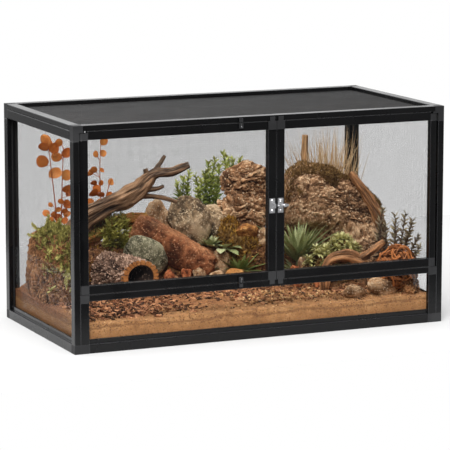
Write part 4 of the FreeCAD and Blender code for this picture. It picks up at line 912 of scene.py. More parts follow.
# %% Boulders and loose stones
rocks("boulders", grey_stone, "grey_rock",
      stone((-30, 126), (112, 86), 272, 5, planes=10, edge=30, coarse=0.05, grid=(90, 130), sink=34),
      stone((30, 126), (72, 68), 246, 9, planes=9, edge=30, coarse=0.05, grid=(70, 110)))
rocks("round_stone", green_stone, "grey_rock",
      stone((-161, 76), (100, 74), 200, 12, planes=30, edge=7, coarse=0.035, grid=(60, 90)))
rocks("tan_stones", tan_stone, "grey_rock",
      stone((-96, 152), (70, 56), 268, 14, planes=14, edge=9, sink=30),
      stone((128, 62), (58, 46), 196, 15, planes=16, edge=9, coarse=0.1, rest_on=152),
      stone((-38, 51), (36, 30), 122, 16, coarse=0.12),
      stone((-2, 37), (38, 30), 110, 17, planes=20, edge=8),
      stone((26, 66), (46, 36), 154, 18, planes=20, edge=8),
      stone((206, -12), (48, 40), 136, 19, planes=24, edge=7),
      stone((262, -152), (58, 42), 88, 20, planes=30, edge=6, coarse=0.03),
      stone((334, -152), (76, 52), 100, 27, planes=30, edge=6, coarse=0.03),
      stone((-406, -112), (32, 26), 82, 29, planes=22, edge=7),
      stone((396, -160), (34, 26), 84, 30, planes=18, edge=8))
rocks("red_stones", red_stone, "red_rock",
      stone((-115, 41), (30, 24), 120, 22, planes=20, edge=6),
      stone((-75, 41), (26, 22), 118, 23, edge=6),
      stone((174, -23), (44, 34), 118, 24, coarse=0.1),
      stone((226, -34), (40, 30), 114, 26, coarse=0.1))
rocks("ochre_stones", ochre_stone, "grey_rock",
      stone((46, 6), (84, 46), 115, 25, planes=18, edge=9),
      stone((88, 60), (62, 40), 211, 31, planes=13, edge=14, rest_on=180))

# %% [markdown]
# ## Leaning slab
# A thick rough slab of red-brown stone leans down from the back left to the front right. It is a rounded
# block in its own axes, a power mean of six faces cut by a few random planes, turned about the upright
# and then tilted.

# %% Slab
SLAB_HEADING, SLAB_TILT, SLAB_ROLL = math.radians(-27), math.radians(-30), 0.15
SLAB_PLACE, SLAB_HALF = np.array((-88, 90, 157)), np.array((105, 42, 42))
SLAB_POWER, SLAB_CUTS, CUT_DISTANCE = 6, 9, 1.02
slab_way = globe(110, 170)
slab_faces = unit(np.random.default_rng(33).normal(size=(SLAB_CUTS, 3)))
cuts = np.maximum(slab_way @ slab_faces.T, 0) / CUT_DISTANCE
slab_meet = (np.abs(slab_way) ** SLAB_POWER).sum(axis=-1) + (cuts ** SLAB_POWER).sum(axis=-1)
slab = slab_way / slab_meet[..., None] ** (1 / SLAB_POWER) * SLAB_HALF
broad, fine = rough(slab, 40, 4, 31), rough(slab, 6, 3, 32)
slab = slab * (1 + 0.06 * broad + 0.03 * fine)[..., None]
slab = turned(slab[None], *np.array([[SLAB_HEADING], [SLAB_TILT], [SLAB_ROLL]]))[0] + SLAB_PLACE
# `hollow` is low in the noise's dips, which the finish darkens as painted shade.
slab_skin = single(slab, clipped(0.5 + 0.4 * broad), clipped(0.7 + 0.8 * fine + 0.3 * broad))
piece("leaning_slab", slab_skin, slab_stone, ["slab_rock"])

# %% [markdown]
# ## Cork bark
# Cork bark is a mass of flaky plates at different levels with cracks between. Bump alone would leave its
# edge smooth, so the plates are in the mesh: each cell of a cell noise is a plate with its own level,
# smaller cells are flakes on it, and the surface falls away at the borders. The same numbers go to
# `hollow` and `shade`, so that cracks are darkened as painted shade and flakes differ in colour.

# %% Bark shape and finish
ROOM_LOW, ROOM_HIGH = np.array((-431.0, -208.0, 18.0)), np.array((431.0, 205.0, 484.0))
CRACK_WIDTH, FLAKE_EDGE, FLAKE_SIZE = 0.2, 0.25, 0.4
ALIKE = (1, 1, 1)


def bark(points, outward, plates, seed, stretch=ALIKE):
    """Pushes points along `outward` by a level for each plate and flake, less near borders, with swells
    between; `plates` is the size of a plate and the depth of its cracks."""
    plate, depth = plates
    flat = points.reshape(-1, 3) * np.array(stretch)
    swells = rough(flat, plate * 3, 3, seed)
    waver = np.stack([rough(flat, plate * 0.8, 2, seed + k) for k in (11, 12, 13)], axis=1)
    bent = flat + plate * 0.45 * waver
    border, level = cells(bent, plate, seed)
    edge, flake_level = cells(bent, plate * FLAKE_SIZE, seed + 5)
    fine = rough(flat, plate * 0.2, 2, seed + 9)
    rise, flake = clipped(border / CRACK_WIDTH), clipped(edge / FLAKE_EDGE)
    push = depth * (0.9 * (rise - 1) + (level - 0.5) + 0.6 * (flake_level - 0.5) + 0.35 * (flake - 1)
                    + 0.3 * fine + 0.7 * swells)
    # A low `hollow` in cracks and between flakes: the finish darkens it as painted shade.
    hollow = clipped(0.2 + 0.46 * rise + 0.22 * flake + 0.26 * flake_level + 0.2 * fine)
    shade = clipped(0.5 + 0.45 * (level - 0.5) + 0.5 * (flake_level - 0.5) + 0.25 * swells)
    shape = points.shape[:-1]
    return points + outward * push.reshape(shape)[..., None], shade.reshape(shape), hollow.reshape(shape)


def bark_dome(place, size, heights, seed, plates, grid, power, lean=(0, 0), stretch=ALIKE):
    """A bark-covered dome: a rounded block by a power mean, its top shifted by `lean`, with broad
    swells; `heights` are those of its foot and top."""
    way = globe(*grid)
    base, top = heights
    block = way / ((np.abs(way) ** power).sum(axis=-1, keepdims=True) ** (1 / power))
    points = block * np.array((*size, top - base)) / 2
    lift = (points[..., 2] / (top - base) + 0.5)[..., None]
    points = points + lift * np.array((*lean, 0))
    swollen = 1 + 0.09 * rough(points, 55, 3, seed + 40)
    points = points * swollen[..., None] + np.array((*place, (base + top) / 2))
    points, shade, hollow = bark(points, way, plates, seed, stretch)
    return single(np.clip(points, ROOM_LOW, ROOM_HIGH), shade, hollow)


def bark_block(centre, size, seed, planes, plates, grid, stretch):
    """A bark-covered block with broad faces, fitted into a box."""
    way = globe(*grid)
    points = fitted(faceted(way, planes, 24, seed), centre, size)
    return single(*bark(points, way, plates, seed, stretch))


cork = earthy("cork_bark", (96, 66, 44), (172, 130, 94), (222, 184, 144), (232, 200, 162), 55.0, 300.0,
              0.08, 0.3, depth_mm=1.2, dusty=0.25, dust_tone=(186, 148, 110))
block_cork = earthy("block_cork", (92, 60, 39), (172, 126, 88), (226, 186, 144), (234, 202, 164), 40.0,
                    300.0, 0.08, 0.24, depth_mm=1.4, dusty=0.2, dust_tone=(206, 166, 126))
grey_cork = earthy("grey_cork", (62, 45, 38), (130, 100, 82), (204, 168, 144), (216, 182, 158), 70.0, 300.0,
                   0.1, 0.2, depth_mm=1.4, dusty=0.15)
end_grain = earthy("end_grain", (118, 66, 30), (188, 122, 66), (220, 160, 100), (160, 96, 50), 70.0, 400.0,
                   0.12, 0.2)
print("finishes:", cork.name, block_cork.name, grey_cork.name, end_grain.name)

# %% [markdown]
# ## Cork hill and cork block
# The large piece at the right is a broad half log of bark. Its outline across is a rounded arch, carried
# from left to right along the cage while the arch's top, front and back change: high at the left, falling
# and coming forward at the right, where it ends in a steep break. Low at the left its front draws back
# into a dark hollow. The block beside it is three bark-covered blocks in one.

# %% Cork hill
HILL_X, HILL_FOOT, HILL_POWER = (196.0, 428.0), 62.0, 2.7
HILL_AT = (0.0, 0.07, 0.2, 0.45, 0.7, 0.86, 1.0)
HILL_TOP = (250, 308, 327, 325, 300, 272, 232)
HILL_FRONT = (84, 52, 24, 8, -2, -10, -8)
HILL_BACK = (120, 150, 166, 168, 166, 160, 146)
LEFT_TAPER, RIGHT_TAPER, TAPERED = 0.09, 0.05, 0.35
HOLLOW_BELOW, HOLLOW_FADE, HOLLOW_DEPTH = 218, 50, 44
HOLLOW_END, HOLLOW_THINS = 0.62, 0.4


def bulged(wave):
    """A cosine or sine raised to a power below one, with its sign kept, which squares a circle."""
    return np.sign(wave) * np.abs(wave) ** (2 / HILL_POWER)


def half_log(rows, columns):
    """Arch outlines along x: a power-mean ring between front and back, foot and top, that draws in at
    both ends."""
    share = np.linspace(0, 1, rows)[:, None]
    top, front, back = (np.interp(share, HILL_AT, values) for values in (HILL_TOP, HILL_FRONT, HILL_BACK))
    angle = 2 * math.pi * np.arange(columns) / columns
    across, up = bulged(np.cos(angle)), bulged(np.sin(angle))
    ends = np.minimum(np.sqrt(clipped(share / LEFT_TAPER)), np.sqrt(clipped((1 - share) / RIGHT_TAPER)))
    ends = TAPERED + (1 - TAPERED) * ends
    y = (front + back) / 2 + (back - front) / 2 * across * ends
    z = (HILL_FOOT + top) / 2 + (top - HILL_FOOT) / 2 * up * ends
    under = clipped((HOLLOW_BELOW - z) / HOLLOW_FADE) * clipped((HOLLOW_END - share) / HOLLOW_THINS)
    under = under * (across < 0)
    y = y + HOLLOW_DEPTH * under * under * (3 - 2 * under)
    x = HILL_X[0] + (HILL_X[1] - HILL_X[0]) * share + 0 * y
    out = np.stack([0 * y, across * (top - HILL_FOOT), up * (back - front)], axis=-1)
    return np.stack([x, y, z], axis=-1), unit(out)


hill, hill_out = half_log(210, 300)
hill = hill + hill_out * (7 * rough(hill, 60, 3, 48))[..., None]
hill, hill_shade, hill_hollow = bark(hill, hill_out, (14, 5), 41, (0.5, 0.85, 1.2))
hill[..., 0] = np.minimum(hill[..., 0], ROOM_HIGH[0])
piece("cork_hill", single(hill, hill_shade, hill_hollow), cork, ["cork_mound"], smooth=False)

# %% Cork block
BLOCK_STRETCH = (0.7, 1, 1.2)
blocks = together(bark_block((112, 136, 220), (130, 80, 126), 52, 8, (30, 7), (120, 180), BLOCK_STRETCH),
                  bark_block((120, 146, 294), (128, 70, 106), 56, 8, (26, 7), (110, 170), BLOCK_STRETCH),
                  bark_block((148, 148, 250), (84, 68, 110), 43, 9, (26, 7), (90, 140), BLOCK_STRETCH))
piece("cork_block", blocks, block_cork, ["cork_chunk"], smooth=False)

# %% [markdown]
# ## Soil mound
# At the left a clump of rooty soil stands against the side. It is the same dome with finer, deeper crumbs
# and a brown finish; small leaves cover it later. Low hummocks carry a plant, a stone and a root.

# %% Soil mound
CRUMBS = (1, 1, 0.6)
mound_soil = earthy("rooty_soil", (58, 35, 20), (122, 80, 48), (166, 116, 74), (184, 138, 92), 46.0, 300.0,
                    0.1, 0.25, depth_mm=1.6, dusty=0.2)
clump_skin = together(
    bark_dome((-380, 96), (92, 204), (58, 226), 47, (9, 4.5), (130, 200), 3.0, (0, -6), CRUMBS),
    bark_dome((-384, 100), (88, 206), (22, 160), 49, (9, 4.5), (110, 200), 3.2, (0, -8), CRUMBS))
hummocks = together(bark_dome((8, 92), (76, 60), (70, 162), 45, (8, 4), (70, 110), 2.4),
                    bark_dome((120, 66), (104, 66), (62, 160), 46, (8, 4), (80, 130), 2.4),
                    bark_dome((398, -126), (56, 124), (40, 112), 48, (8, 4), (60, 110), 2.3))
piece("soil_clump", clump_skin, mound_soil, ["soil_mound"], smooth=False)
piece("soil_hummocks", hummocks, mound_soil, smooth=False)

# %% [markdown]
# ## Cork tube
# A hollow length of bark lies on the sand with its open end towards the viewer. Its outline, the outer
# face, the rim, the inner face and the far rim, is carried round the axis, so the surface closes on
# itself both ways. The outside gets bark plates, and the rim, cut aslant so that it faces forward, shows
# pale end grain with notches, darkened in the notches as painted shade. The inner face is coloured dark
# as painted shade.

# %% Looped skin
def looped(points, shade, hollow):
    """Closed surface of one grid that joins itself in rows and in columns."""
    rows, columns, _ = points.shape
    row, column = np.arange(rows)[:, None], np.arange(columns)[None, :]
    here, down, after = row * columns, (row + 1) % rows * columns, (column + 1) % columns
    quads = np.stack([here + column, here + after, down + after, down + column], axis=-1).reshape(-1, 4)
    place = points.reshape(-1, 3)
    return {"place": place, "quads": quads, "tris": np.zeros((0, 3), int), "shade": shade.ravel(),
            "hollow": hollow.ravel(), "straight": place}


print("a looped grid of 3 by 4 has", len(looped(*np.zeros((3, 3, 4, 3)))["quads"]), "quads")

# %% Tube shape
TUBE_CENTRE, TUBE_AXIS = np.array((-237.7, 29.7, 117.6)), np.array((0.454, -0.891, 0))
TUBE_SIDE = np.array((0.891, 0.454, 0))
TUBE_OUTER, TUBE_INNER, TUBE_LONG, TUBE_COLUMNS = 40.0, 28.0, 110.0, 240
OUTSIDE_ROWS, INSIDE_ROWS, RIM_ROWS, RIM_WALL = 80, 30, 10, (0.93, 0.07)
NOTCHES, NOTCH_DEPTH, RIM_REACH, RIM_SLANT = 21, 0.17, 0.05, math.tan(math.radians(26))
THICKER, THICK_FROM, THICK_OVER = 0.2, 0.45, 0.4
# Low values for the inner face: painted shade inside the tube.
INSIDE_SHADOW_HOLLOW, INSIDE_SHADOW_TONE = 0.12, 0.15
run = np.concatenate([np.linspace(-0.5, 0.5, OUTSIDE_ROWS), np.full(RIM_ROWS, 0.5),
                      np.linspace(0.5, -0.5, INSIDE_ROWS), np.full(RIM_ROWS, -0.5)])[:, None]
wall = np.concatenate([np.ones(OUTSIDE_ROWS), np.linspace(*RIM_WALL, RIM_ROWS),
                       np.zeros(INSIDE_ROWS), np.linspace(*RIM_WALL[::-1], RIM_ROWS)])[:, None]
turn = 2 * math.pi * np.arange(TUBE_COLUMNS) / TUBE_COLUMNS
spoke = np.cos(turn)[:, None] * TUBE_SIDE + np.sin(turn)[:, None] * np.cross(TUBE_AXIS, TUBE_SIDE)
near_rim = np.exp(-((0.5 - run) / RIM_REACH) ** 2)
notch = clipped(np.abs(np.sin(NOTCHES * turn / 2 + 1.2 * np.sin(3 * turn))) * 2.0)
thicker = 1 + THICKER * np.clip(THICK_FROM - run, 0, THICK_OVER) / THICK_OVER
outer = TUBE_OUTER * thicker * (1 - NOTCH_DEPTH * near_rim * (1 - notch))
radius = TUBE_INNER + (outer - TUBE_INNER) * wall
slant = RIM_SLANT * radius * np.cos(turn) * clipped(run + 0.5) ** 2
tube = TUBE_CENTRE + (TUBE_LONG * run + slant)[..., None] * TUBE_AXIS + radius[..., None] * spoke
barked, tube_shade, tube_hollow = bark(tube, spoke[None] + 0 * tube, (10, 5), 51, (1, 0.7, 1))
outside = clipped((wall - 0.95) / 0.05)
tube = tube + (barked - tube) * (outside * (1 - 0.85 * near_rim))[..., None]
# The inner face takes the low values: painted shade inside the tube.
tube_skin = looped(tube, np.where(outside > 0, tube_shade, INSIDE_SHADOW_TONE),
                   np.where(outside > 0, tube_hollow, INSIDE_SHADOW_HOLLOW))
piece("cork_tube_bark", tube_skin, grey_cork, ["cork_tube"], smooth=False)

# %% Tube rim
RIM_PROUD, RIM_DEEP = 1.5, 5.0
rim_face = tube[OUTSIDE_ROWS:OUTSIDE_ROWS + RIM_ROWS]
rim = np.concatenate([rim_face + RIM_PROUD * TUBE_AXIS, rim_face[::-1] - RIM_DEEP * TUBE_AXIS])
# Notches get a low `hollow`: painted shade in the cuts of the rim.
rim_hollow = 0.25 + 0.75 * notch + np.zeros(rim.shape[:2])
rim_skin = looped(rim, 0.5 + 0 * rim_hollow, rim_hollow)
piece("cork_tube_rim", rim_skin, end_grain, ["cork_tube"], smooth=False)

# %% [markdown]
# ## Driftwood
# A weathered branch leans from the back left towards the middle, and two thinner roots lie on the right.
# A limb is a ring of points carried along a smooth path. The path goes through a few given points by the
# cubic curve that takes its slope at each point from the two beside it. Long ridges, noise stretched
# along the limb, make the grain, and the ring is turned by a fixed reference direction, which is enough
# for limbs that never turn back on themselves.

# %% Paths and limbs
REFERENCE = np.array((0.25, 0.85, 0.46))
RIDGES, SPLITS, SWELLS = (1, 1, 0.09), (1, 1, 0.16), (0.4, 0.4, 0.6)


def smooth_path(knots, count):
    """Points on the cubic curve through the knots; works for one row of knots or a batch of rows."""
    knots = np.asarray(knots, float)
    spans = knots.shape[-2] - 1
    at = np.linspace(0, spans, count)
    low = np.minimum(at.astype(int), spans - 1)
    t = (at - low)[:, None]
    slope = np.gradient(knots, axis=-2)
    one, two = knots[..., low, :], knots[..., low + 1, :]
    out, back = slope[..., low, :], slope[..., low + 1, :]
    return (one * (2 * t ** 3 - 3 * t ** 2 + 1) + out * (t ** 3 - 2 * t ** 2 + t)
            + two * (3 * t ** 2 - 2 * t ** 3) + back * (t ** 3 - t ** 2))


def swept(paths, radius, columns, flat=1.0, side=None, roll=0.0):
    """Rings carried along a batch of paths: each point is the path plus radius times cos and sin of its
    angle."""
    ahead = unit(np.gradient(paths, axis=1))
    side = unit(np.cross(REFERENCE, ahead)) if side is None else side
    up = np.cross(ahead, side)
    roll = np.asarray(roll, float).reshape(-1, 1, 1)
    side, up = np.cos(roll) * side + np.sin(roll) * up, np.cos(roll) * up - np.sin(roll) * side
    angle = 2 * math.pi * np.arange(columns) / columns
    radius = np.broadcast_to(radius, paths.shape[:2])[..., None]
    ring = np.cos(angle)[:, None] * side[:, :, None] + flat * np.sin(angle)[:, None] * up[:, :, None]
    steps = np.linalg.norm(np.diff(paths, axis=1), axis=-1)
    along = np.concatenate([0 * steps[:, :1], np.cumsum(steps, axis=1)], axis=1)[..., None]
    straight = np.stack([radius * np.cos(angle), radius * np.sin(angle), along + 0 * angle], axis=-1)
    return paths[:, :, None] + radius[..., None] * ring, straight, ring


def limb(knots, widths, seed, grid, ridge=0.16, swelling=0.18):
    """A wooden limb: a ring carried along the path, its radius varied by long ridges and slow
    swellings."""
    rows, columns = grid
    path = smooth_path(knots, rows)[None]
    girth = np.interp(np.linspace(0, 1, rows), np.linspace(0, 1, len(widths)), widths)[None]
    points, straight, ring = swept(path, girth, columns)
    place = straight + seed * 31
    ridges = rough(place * RIDGES, 7, 3, seed)
    splits = rough(place * SPLITS, 3, 2, seed + 5)
    swells = rough(place * SWELLS, 26, 2, seed + 3)
    push = girth[..., None] * (ridge * ridges + 0.35 * ridge * splits + swelling * swells)
    # Grooves between the ridges get a low `hollow`, which the finish darkens as painted shade.
    return skin(points + ring * push[..., None], clipped(0.5 + 0.5 * swells),
                clipped(0.62 + ridges + 0.45 * splits), straight)


def woody(name, dark, light, across, along, depth_mm=0.8):
    """A dry wood finish from the fibre group, with dust on top."""
    material, tree, shader = finish_for(name, Roughness=0.78, Specular_IOR_Level=0.3)
    made = placed(tree, fibre, Dark=tone(*dark), Light=tone(*light), Across=across, Along=along,
                  Crack_Shade=0.3)
    dusted = placed(tree, dust, Color=made["Color"], Dust=tone(186, 158, 128), Share=0.25)
    tree.links.new(dusted["Color"], shader.inputs["Base Color"])
    bump(tree, shader, made["Height"], 0.7, depth_mm)
    return material


driftwood = woody("driftwood", (62, 43, 30), (158, 120, 88), 260.0, 12.0)
warm_root = woody("warm_root", (88, 53, 29), (186, 130, 84), 240.0, 14.0)
pale_stem = woody("pale_stem", (124, 82, 48), (214, 166, 116), 240.0, 16.0)
print("a limb's grain runs along z of its straightened place")

# %% Branch
BRANCH_FOOT, BRANCH_REACH = np.array((-321.7, 159.7, 115.8)), np.array((262, -102, 240))


def on_branch(*shares):
    """Points of the branch from shares of its reach to the right, forward and up."""
    return BRANCH_FOOT + np.array(shares) * BRANCH_REACH


trunk = on_branch((0, 0, 0), (0.08, 0.1, 0.4), (0.3, 0.33, 0.6), (0.45, 0.51, 0.685), (0.58, 0.66, 0.78),
                  (0.65, 0.73, 0.865), (0.72, 0.79, 0.925), (0.85, 0.9, 0.94), (1, 1, 1.0))
tip = on_branch((0.7, 0.77, 0.92), (0.745, 0.73, 0.985), (0.78, 0.68, 1.02), (0.83, 0.6, 1.075))
snag = on_branch((0.65, 0.73, 0.87), (0.64, 0.71, 0.93), (0.63, 0.69, 0.97))
low_arm = on_branch((0.5, 0.58, 0.72), (0.62, 0.7, 0.71), (0.76, 0.79, 0.69), (0.9, 0.85, 0.64))
front_arm = on_branch((0.58, 0.68, 0.765), (0.66, 0.8, 0.775), (0.72, 0.92, 0.79), (0.76, 0.98, 0.815))
branch = together(limb(trunk, (23, 23, 22, 20, 18, 16, 13, 11, 9), 61, (240, 96), 0.27, 0.26),
                  limb(tip, (7, 6, 5, 4.5, 4), 62, (50, 28), 0.24),
                  limb(snag, (8, 6.5, 5), 63, (24, 24)),
                  limb(low_arm, (9, 7, 5.5, 4), 64, (60, 28)),
                  limb(front_arm, (9, 6.5, 5, 4), 65, (40, 26)))
piece("driftwood_limb", branch, driftwood, ["driftwood_branch"])

# %% Leaning strip and low arch
strip = [(411, -26, 60), (407, -26, 115), (400, -22, 172), (391, -13, 222), (371, 6, 268), (345, 38, 316)]
arch = [(222, -77, 56), (226, -76, 110), (242, -76, 136), (276, -77, 141), (308, -78, 128),
        (330, -78, 100), (338, -77, 56)]
fork = [(304, -78, 128), (328, -84, 142), (350, -90, 158), (368, -94, 172)]
strips = together(limb(strip, (11, 11, 11, 10, 10, 7), 66, (160, 56), 0.4, 0.42),
                  limb(arch, (11, 11, 12, 13, 12, 11, 10), 67, (130, 48), 0.4, 0.36),
                  limb(fork, (11, 10, 8, 5), 68, (60, 36), 0.34, 0.3))
piece("root_strips", strips, warm_root, ["driftwood_roots"])

# %% [markdown]
# ## Root tangle
# In the right front corner lies a ball of wiry orange-brown roots. Each root is a thin tube whose path is
# part of a circle drawn on an egg, in a direction of its own, and wavers in and out. A crumbly core of
# soil fills the middle, coloured very dark as painted shadow in the gaps between the roots.

# %% Root tangle
BALL_CENTRE, BALL_SIZE, ROOT_ROWS, ROOT_SIDES = (378, -138, 112), (98, 96, 112), 18, 5


def tangle(centre, size, count, radius, seed):
    """Tubes on circles of an egg: a circle's axis is drawn at random, and the path is its cosine and sine
    part."""
    draw = np.random.default_rng(seed)
    axis = unit(draw.normal(size=(count, 3)))
    one = unit(np.cross(axis, draw.normal(size=(count, 3))))
    two = np.cross(axis, one)
    along = np.linspace(0, 1, ROOT_ROWS)[None, :, None]

    def each(low, high):
        return draw.uniform(low, high, (count, 1, 1))

    angle = each(0.7, 2.4) * along
    off = each(-0.6, 0.6) + 0.25 * np.sin(each(2, 7) * along)
    ring = np.sqrt(np.clip(1 - off ** 2, 0.05, 1))
    out = each(0.72, 1.0) + 0.08 * np.sin(each(4, 12) * along)
    circle = np.cos(angle) * one[:, None] + np.sin(angle) * two[:, None]
    paths = out * (ring * circle + off * axis[:, None])
    paths = paths * np.array(size) / 2 + np.array(centre)
    thick = draw.uniform(0.55, 1.35, (count, 1)) * radius * (1.1 - 0.6 * along[..., 0])
    points, straight, _ = swept(paths, thick, ROOT_SIDES)
    return skin(points, shade=draw.uniform(0.1, 0.95, count), straight=straight)


wiry_root = woody("wiry_root", (74, 38, 18), (196, 120, 64), 300.0, 20.0, 0.3)
# Very dark soil for the core: partly its own colour, partly painted shadow between the roots.
painted_shadow_core = earthy("painted_shadow_core", (26, 15, 9), (52, 30, 17), (84, 52, 30), (60, 36, 20), 60.0, 300.0, 0.1,
                   0.2)
core = bark_dome(BALL_CENTRE[:2], (70, 68), (56, 142), 72, (9, 4), (50, 80), 2.1)
piece("root_ball", tangle(BALL_CENTRE, BALL_SIZE, 190, 2.3, 71), wiry_root, ["root_tangle"])
piece("root_ball_core", core, painted_shadow_core, ["root_tangle"], smooth=False)

# %% [markdown]
# ## Fallen log
# A short rotten log lies on the bank behind the fern. It is a limb like the others, but with a crumbly
# ochre finish that mosses over at its left end.

# %% Fallen log
rotten = earthy("rotten_log", (110, 66, 28), (184, 122, 62), (216, 162, 94), (138, 122, 50), 40.0, 260.0,
                0.2, 0.35, depth_mm=1.4)
log_path = [(-306, 152, 172), (-266, 150, 194), (-215, 148, 212), (-165, 146, 220), (-132, 144, 220)]
log_skin = limb(log_path, (15, 18, 18, 17, 14), 69, (90, 44), 0.22, 0.3)
piece("fallen_log", log_skin, rotten)

# %% [markdown]
# ## Leaves
# Nearly every plant here is made of one shape: a blade whose midrib leaves its root at an angle, bends
# down along its length, and widens and narrows by a profile. A flat diamond, folded up a little at its
# edges, is carried along that midrib, so each leaf is closed and has only a few dozen faces. The
# functions take arrays, one number per leaf, and make all leaves of a plant at once.

# %% Blades
ROOM_MARGIN, THINNEST = 10.0, 0.03


def direction(bearing, rise):
    """Directions of length one from a bearing round the upright and a rise above the level."""
    return np.stack([np.cos(bearing) * np.cos(rise), np.sin(bearing) * np.cos(rise), np.sin(rise)], axis=-1)


def bearing_and_rise(way):
    """The two angles of directions of length one."""
    return np.arctan2(way[:, 1], way[:, 0]), np.arcsin(np.clip(way[:, 2], -1, 1))


def blades(root, bearing, rise, droop, long, wide, profile, seed, thick=0.18, rows=6, roll=0.0, shade=None,
           fold=0.0):
    """Closed leaves: the midrib's slope falls from `rise` by `droop`, its width follows `profile` from 0
    to 1, and the edges are lifted by `fold` half widths."""
    draw = np.random.default_rng(seed)
    count = len(root)
    bearing, rise, droop, long, wide = (np.broadcast_to(np.asarray(values, float), count)[:, None]
                                        for values in (bearing, rise, droop, long, wide))
    t = np.linspace(0, 1, rows)
    ahead = direction(bearing, rise - droop * t)
    steps = ahead[:, 1:] * (long / (rows - 1))[..., None]
    path = root[:, None] + np.concatenate([0 * ahead[:, :1], np.cumsum(steps, axis=1)], axis=1)
    side = np.stack([-np.sin(bearing), np.cos(bearing), 0 * bearing], axis=-1) + 0 * path
    half = wide / 2 * np.maximum(profile(t), THINNEST)
    points, straight, ring = swept(path, half, 4, thick, side, roll)
    points[:, :, 0::2] += fold * half[..., None, None] * ring[:, :, 1:2] / thick
    shade = draw.uniform(0.15, 0.9, count) if shade is None else shade
    # Each leaf's `hollow` falls towards its root, where the finish paints shade.
    return skin(points, shade=shade, hollow=(0.55 + 0.45 * t)[None, :, None], straight=straight)


def inside(surface):
    """Keeps leaves off the screens: past a margin, a point's way out is squeezed by the tanh curve."""
    middle, reach = (ROOM_LOW + ROOM_HIGH) / 2, (ROOM_HIGH - ROOM_LOW) / 2 - ROOM_MARGIN
    off = surface["place"] - middle
    over = np.maximum(np.abs(off) - reach, 0)
    held = np.minimum(np.abs(off), reach) + ROOM_MARGIN * np.tanh(over / ROOM_MARGIN)
    return {**surface, "place": middle + np.sign(off) * held}


def plant(name, surface, material, replaced=("green_plants",), smooth=False):
    """A plant's piece: kept inside the room, with flat faces so that each blade shows its fold."""
    piece(name, inside(surface), material, replaced, smooth=smooth)


def lance(t):
    """Width of a pointed leaf: broad near the root, falling to the tip."""
    return np.sqrt(t + 0.08) * (1 - t) * 2.3 + 0.02


def disc(t):
    """Width of a round leaf: a circle."""
    return np.sqrt(clipped(1 - (2 * t - 1) ** 2))


def oval(t):
    """Width of a broad leaf: a narrow foot, then a rounded blade with a short tip."""
    return np.sin(math.pi * t ** 1.3) ** 0.8 + 0.12 * (1 - t)


def needle(t):
    """Width of a needle: even, then pointed."""
    return np.minimum(1, 3 * (1 - t))


print("leaves keep", ROOM_MARGIN, "mm off the screens")

# %% Leaf finishes
def leafy(name, dark, mid, light, scale=60.0, sheen=0.5):
    """A leaf finish: mottled greens, a little gloss, and painted shade darkening each leaf towards its
    root.
    """
    material, tree, shader = finish_for(name, Roughness=sheen, Specular_IOR_Level=0.3)
    made = mottled(tree, dark, mid, light, mid, scale, 500.0, 0.05, 0.25)
    tree.links.new(made["Color"], shader.inputs["Base Color"])
    bump(tree, shader, made["Height"], 0.3, 0.3)
    return material


fresh_green = leafy("fresh_green", (72, 92, 34), (132, 148, 66), (198, 202, 108))
agave_green = leafy("agave_green", (66, 84, 40), (118, 134, 68), (170, 176, 108))
grey_green = leafy("grey_green", (112, 122, 76), (166, 172, 118), (212, 212, 166))
blue_green = leafy("blue_green", (104, 118, 66), (154, 164, 106), (204, 206, 152))
deep_green = leafy("deep_green", (98, 96, 36), (164, 158, 68), (210, 202, 110))
pale_green = leafy("pale_green", (138, 134, 70), (194, 188, 120), (228, 222, 164))
moss_green = leafy("moss_green", (86, 84, 34), (150, 142, 70), (202, 192, 112), sheen=0.8)
ochre_moss = leafy("ochre_moss", (96, 62, 18), (170, 120, 42), (218, 172, 78), sheen=0.85)
brown_moss = leafy("brown_moss", (74, 52, 24), (128, 94, 50), (172, 134, 80), sheen=0.85)
dark_twig = leafy("dark_twig", (70, 52, 44), (122, 100, 80), (166, 152, 116), sheen=0.7)
straw = leafy("straw", (168, 132, 88), (218, 184, 136), (242, 218, 178), sheen=0.7)
rust_leaf = leafy("rust_leaf", (164, 78, 24), (212, 118, 48), (232, 154, 82), 90.0, 0.6)
print("finishes in all:", len(bpy.data.materials))

# %% [markdown]
# ## Rosettes
# The agaves, the broad-leaved plant and the succulents are rosettes: leaves round one point, upright in
# the middle and flatter outside, each turned from the last by the golden angle, which keeps them from
# lining up.

# %% Rosettes
GOLDEN, FOOT_SUNK = math.pi * (3 - math.sqrt(5)), 3


def rosette(place, count, leaf, rise, droop, seed, profile=lance, thick=0.18):
    """Leaves round a point: the k-th leaf's share k/count goes from the upright middle to the flat
    outside; `leaf` is its length and width, `rise` its slope outside and in the middle."""
    draw = np.random.default_rng(seed)
    long, wide = leaf
    share = np.arange(count) / count
    reach = long * (0.62 + 0.38 * share) * draw.uniform(0.8, 1.1, count)
    turn = GOLDEN * np.arange(count)
    root = np.array(place) + level_places(np.cos(turn), np.sin(turn)) * wide * 0.4
    bearing = turn + draw.normal(0, 0.12, count)
    flattened = rise[1] + (rise[0] - rise[1]) * share
    drooped = droop * (0.4 + share) * draw.uniform(0.5, 1.3, count)
    shade = clipped(0.85 - 0.55 * share + draw.normal(0, 0.12, count))
    return blades(root, bearing, flattened, drooped, reach, wide, profile, seed + 1, thick, shade=shade,
                  fold=0.25)


def above_ground(x, y, rise):
    """A place on a sunk foot, raised by a given height."""
    return x, y, float(ground(x, y)) - FOOT_SUNK + rise


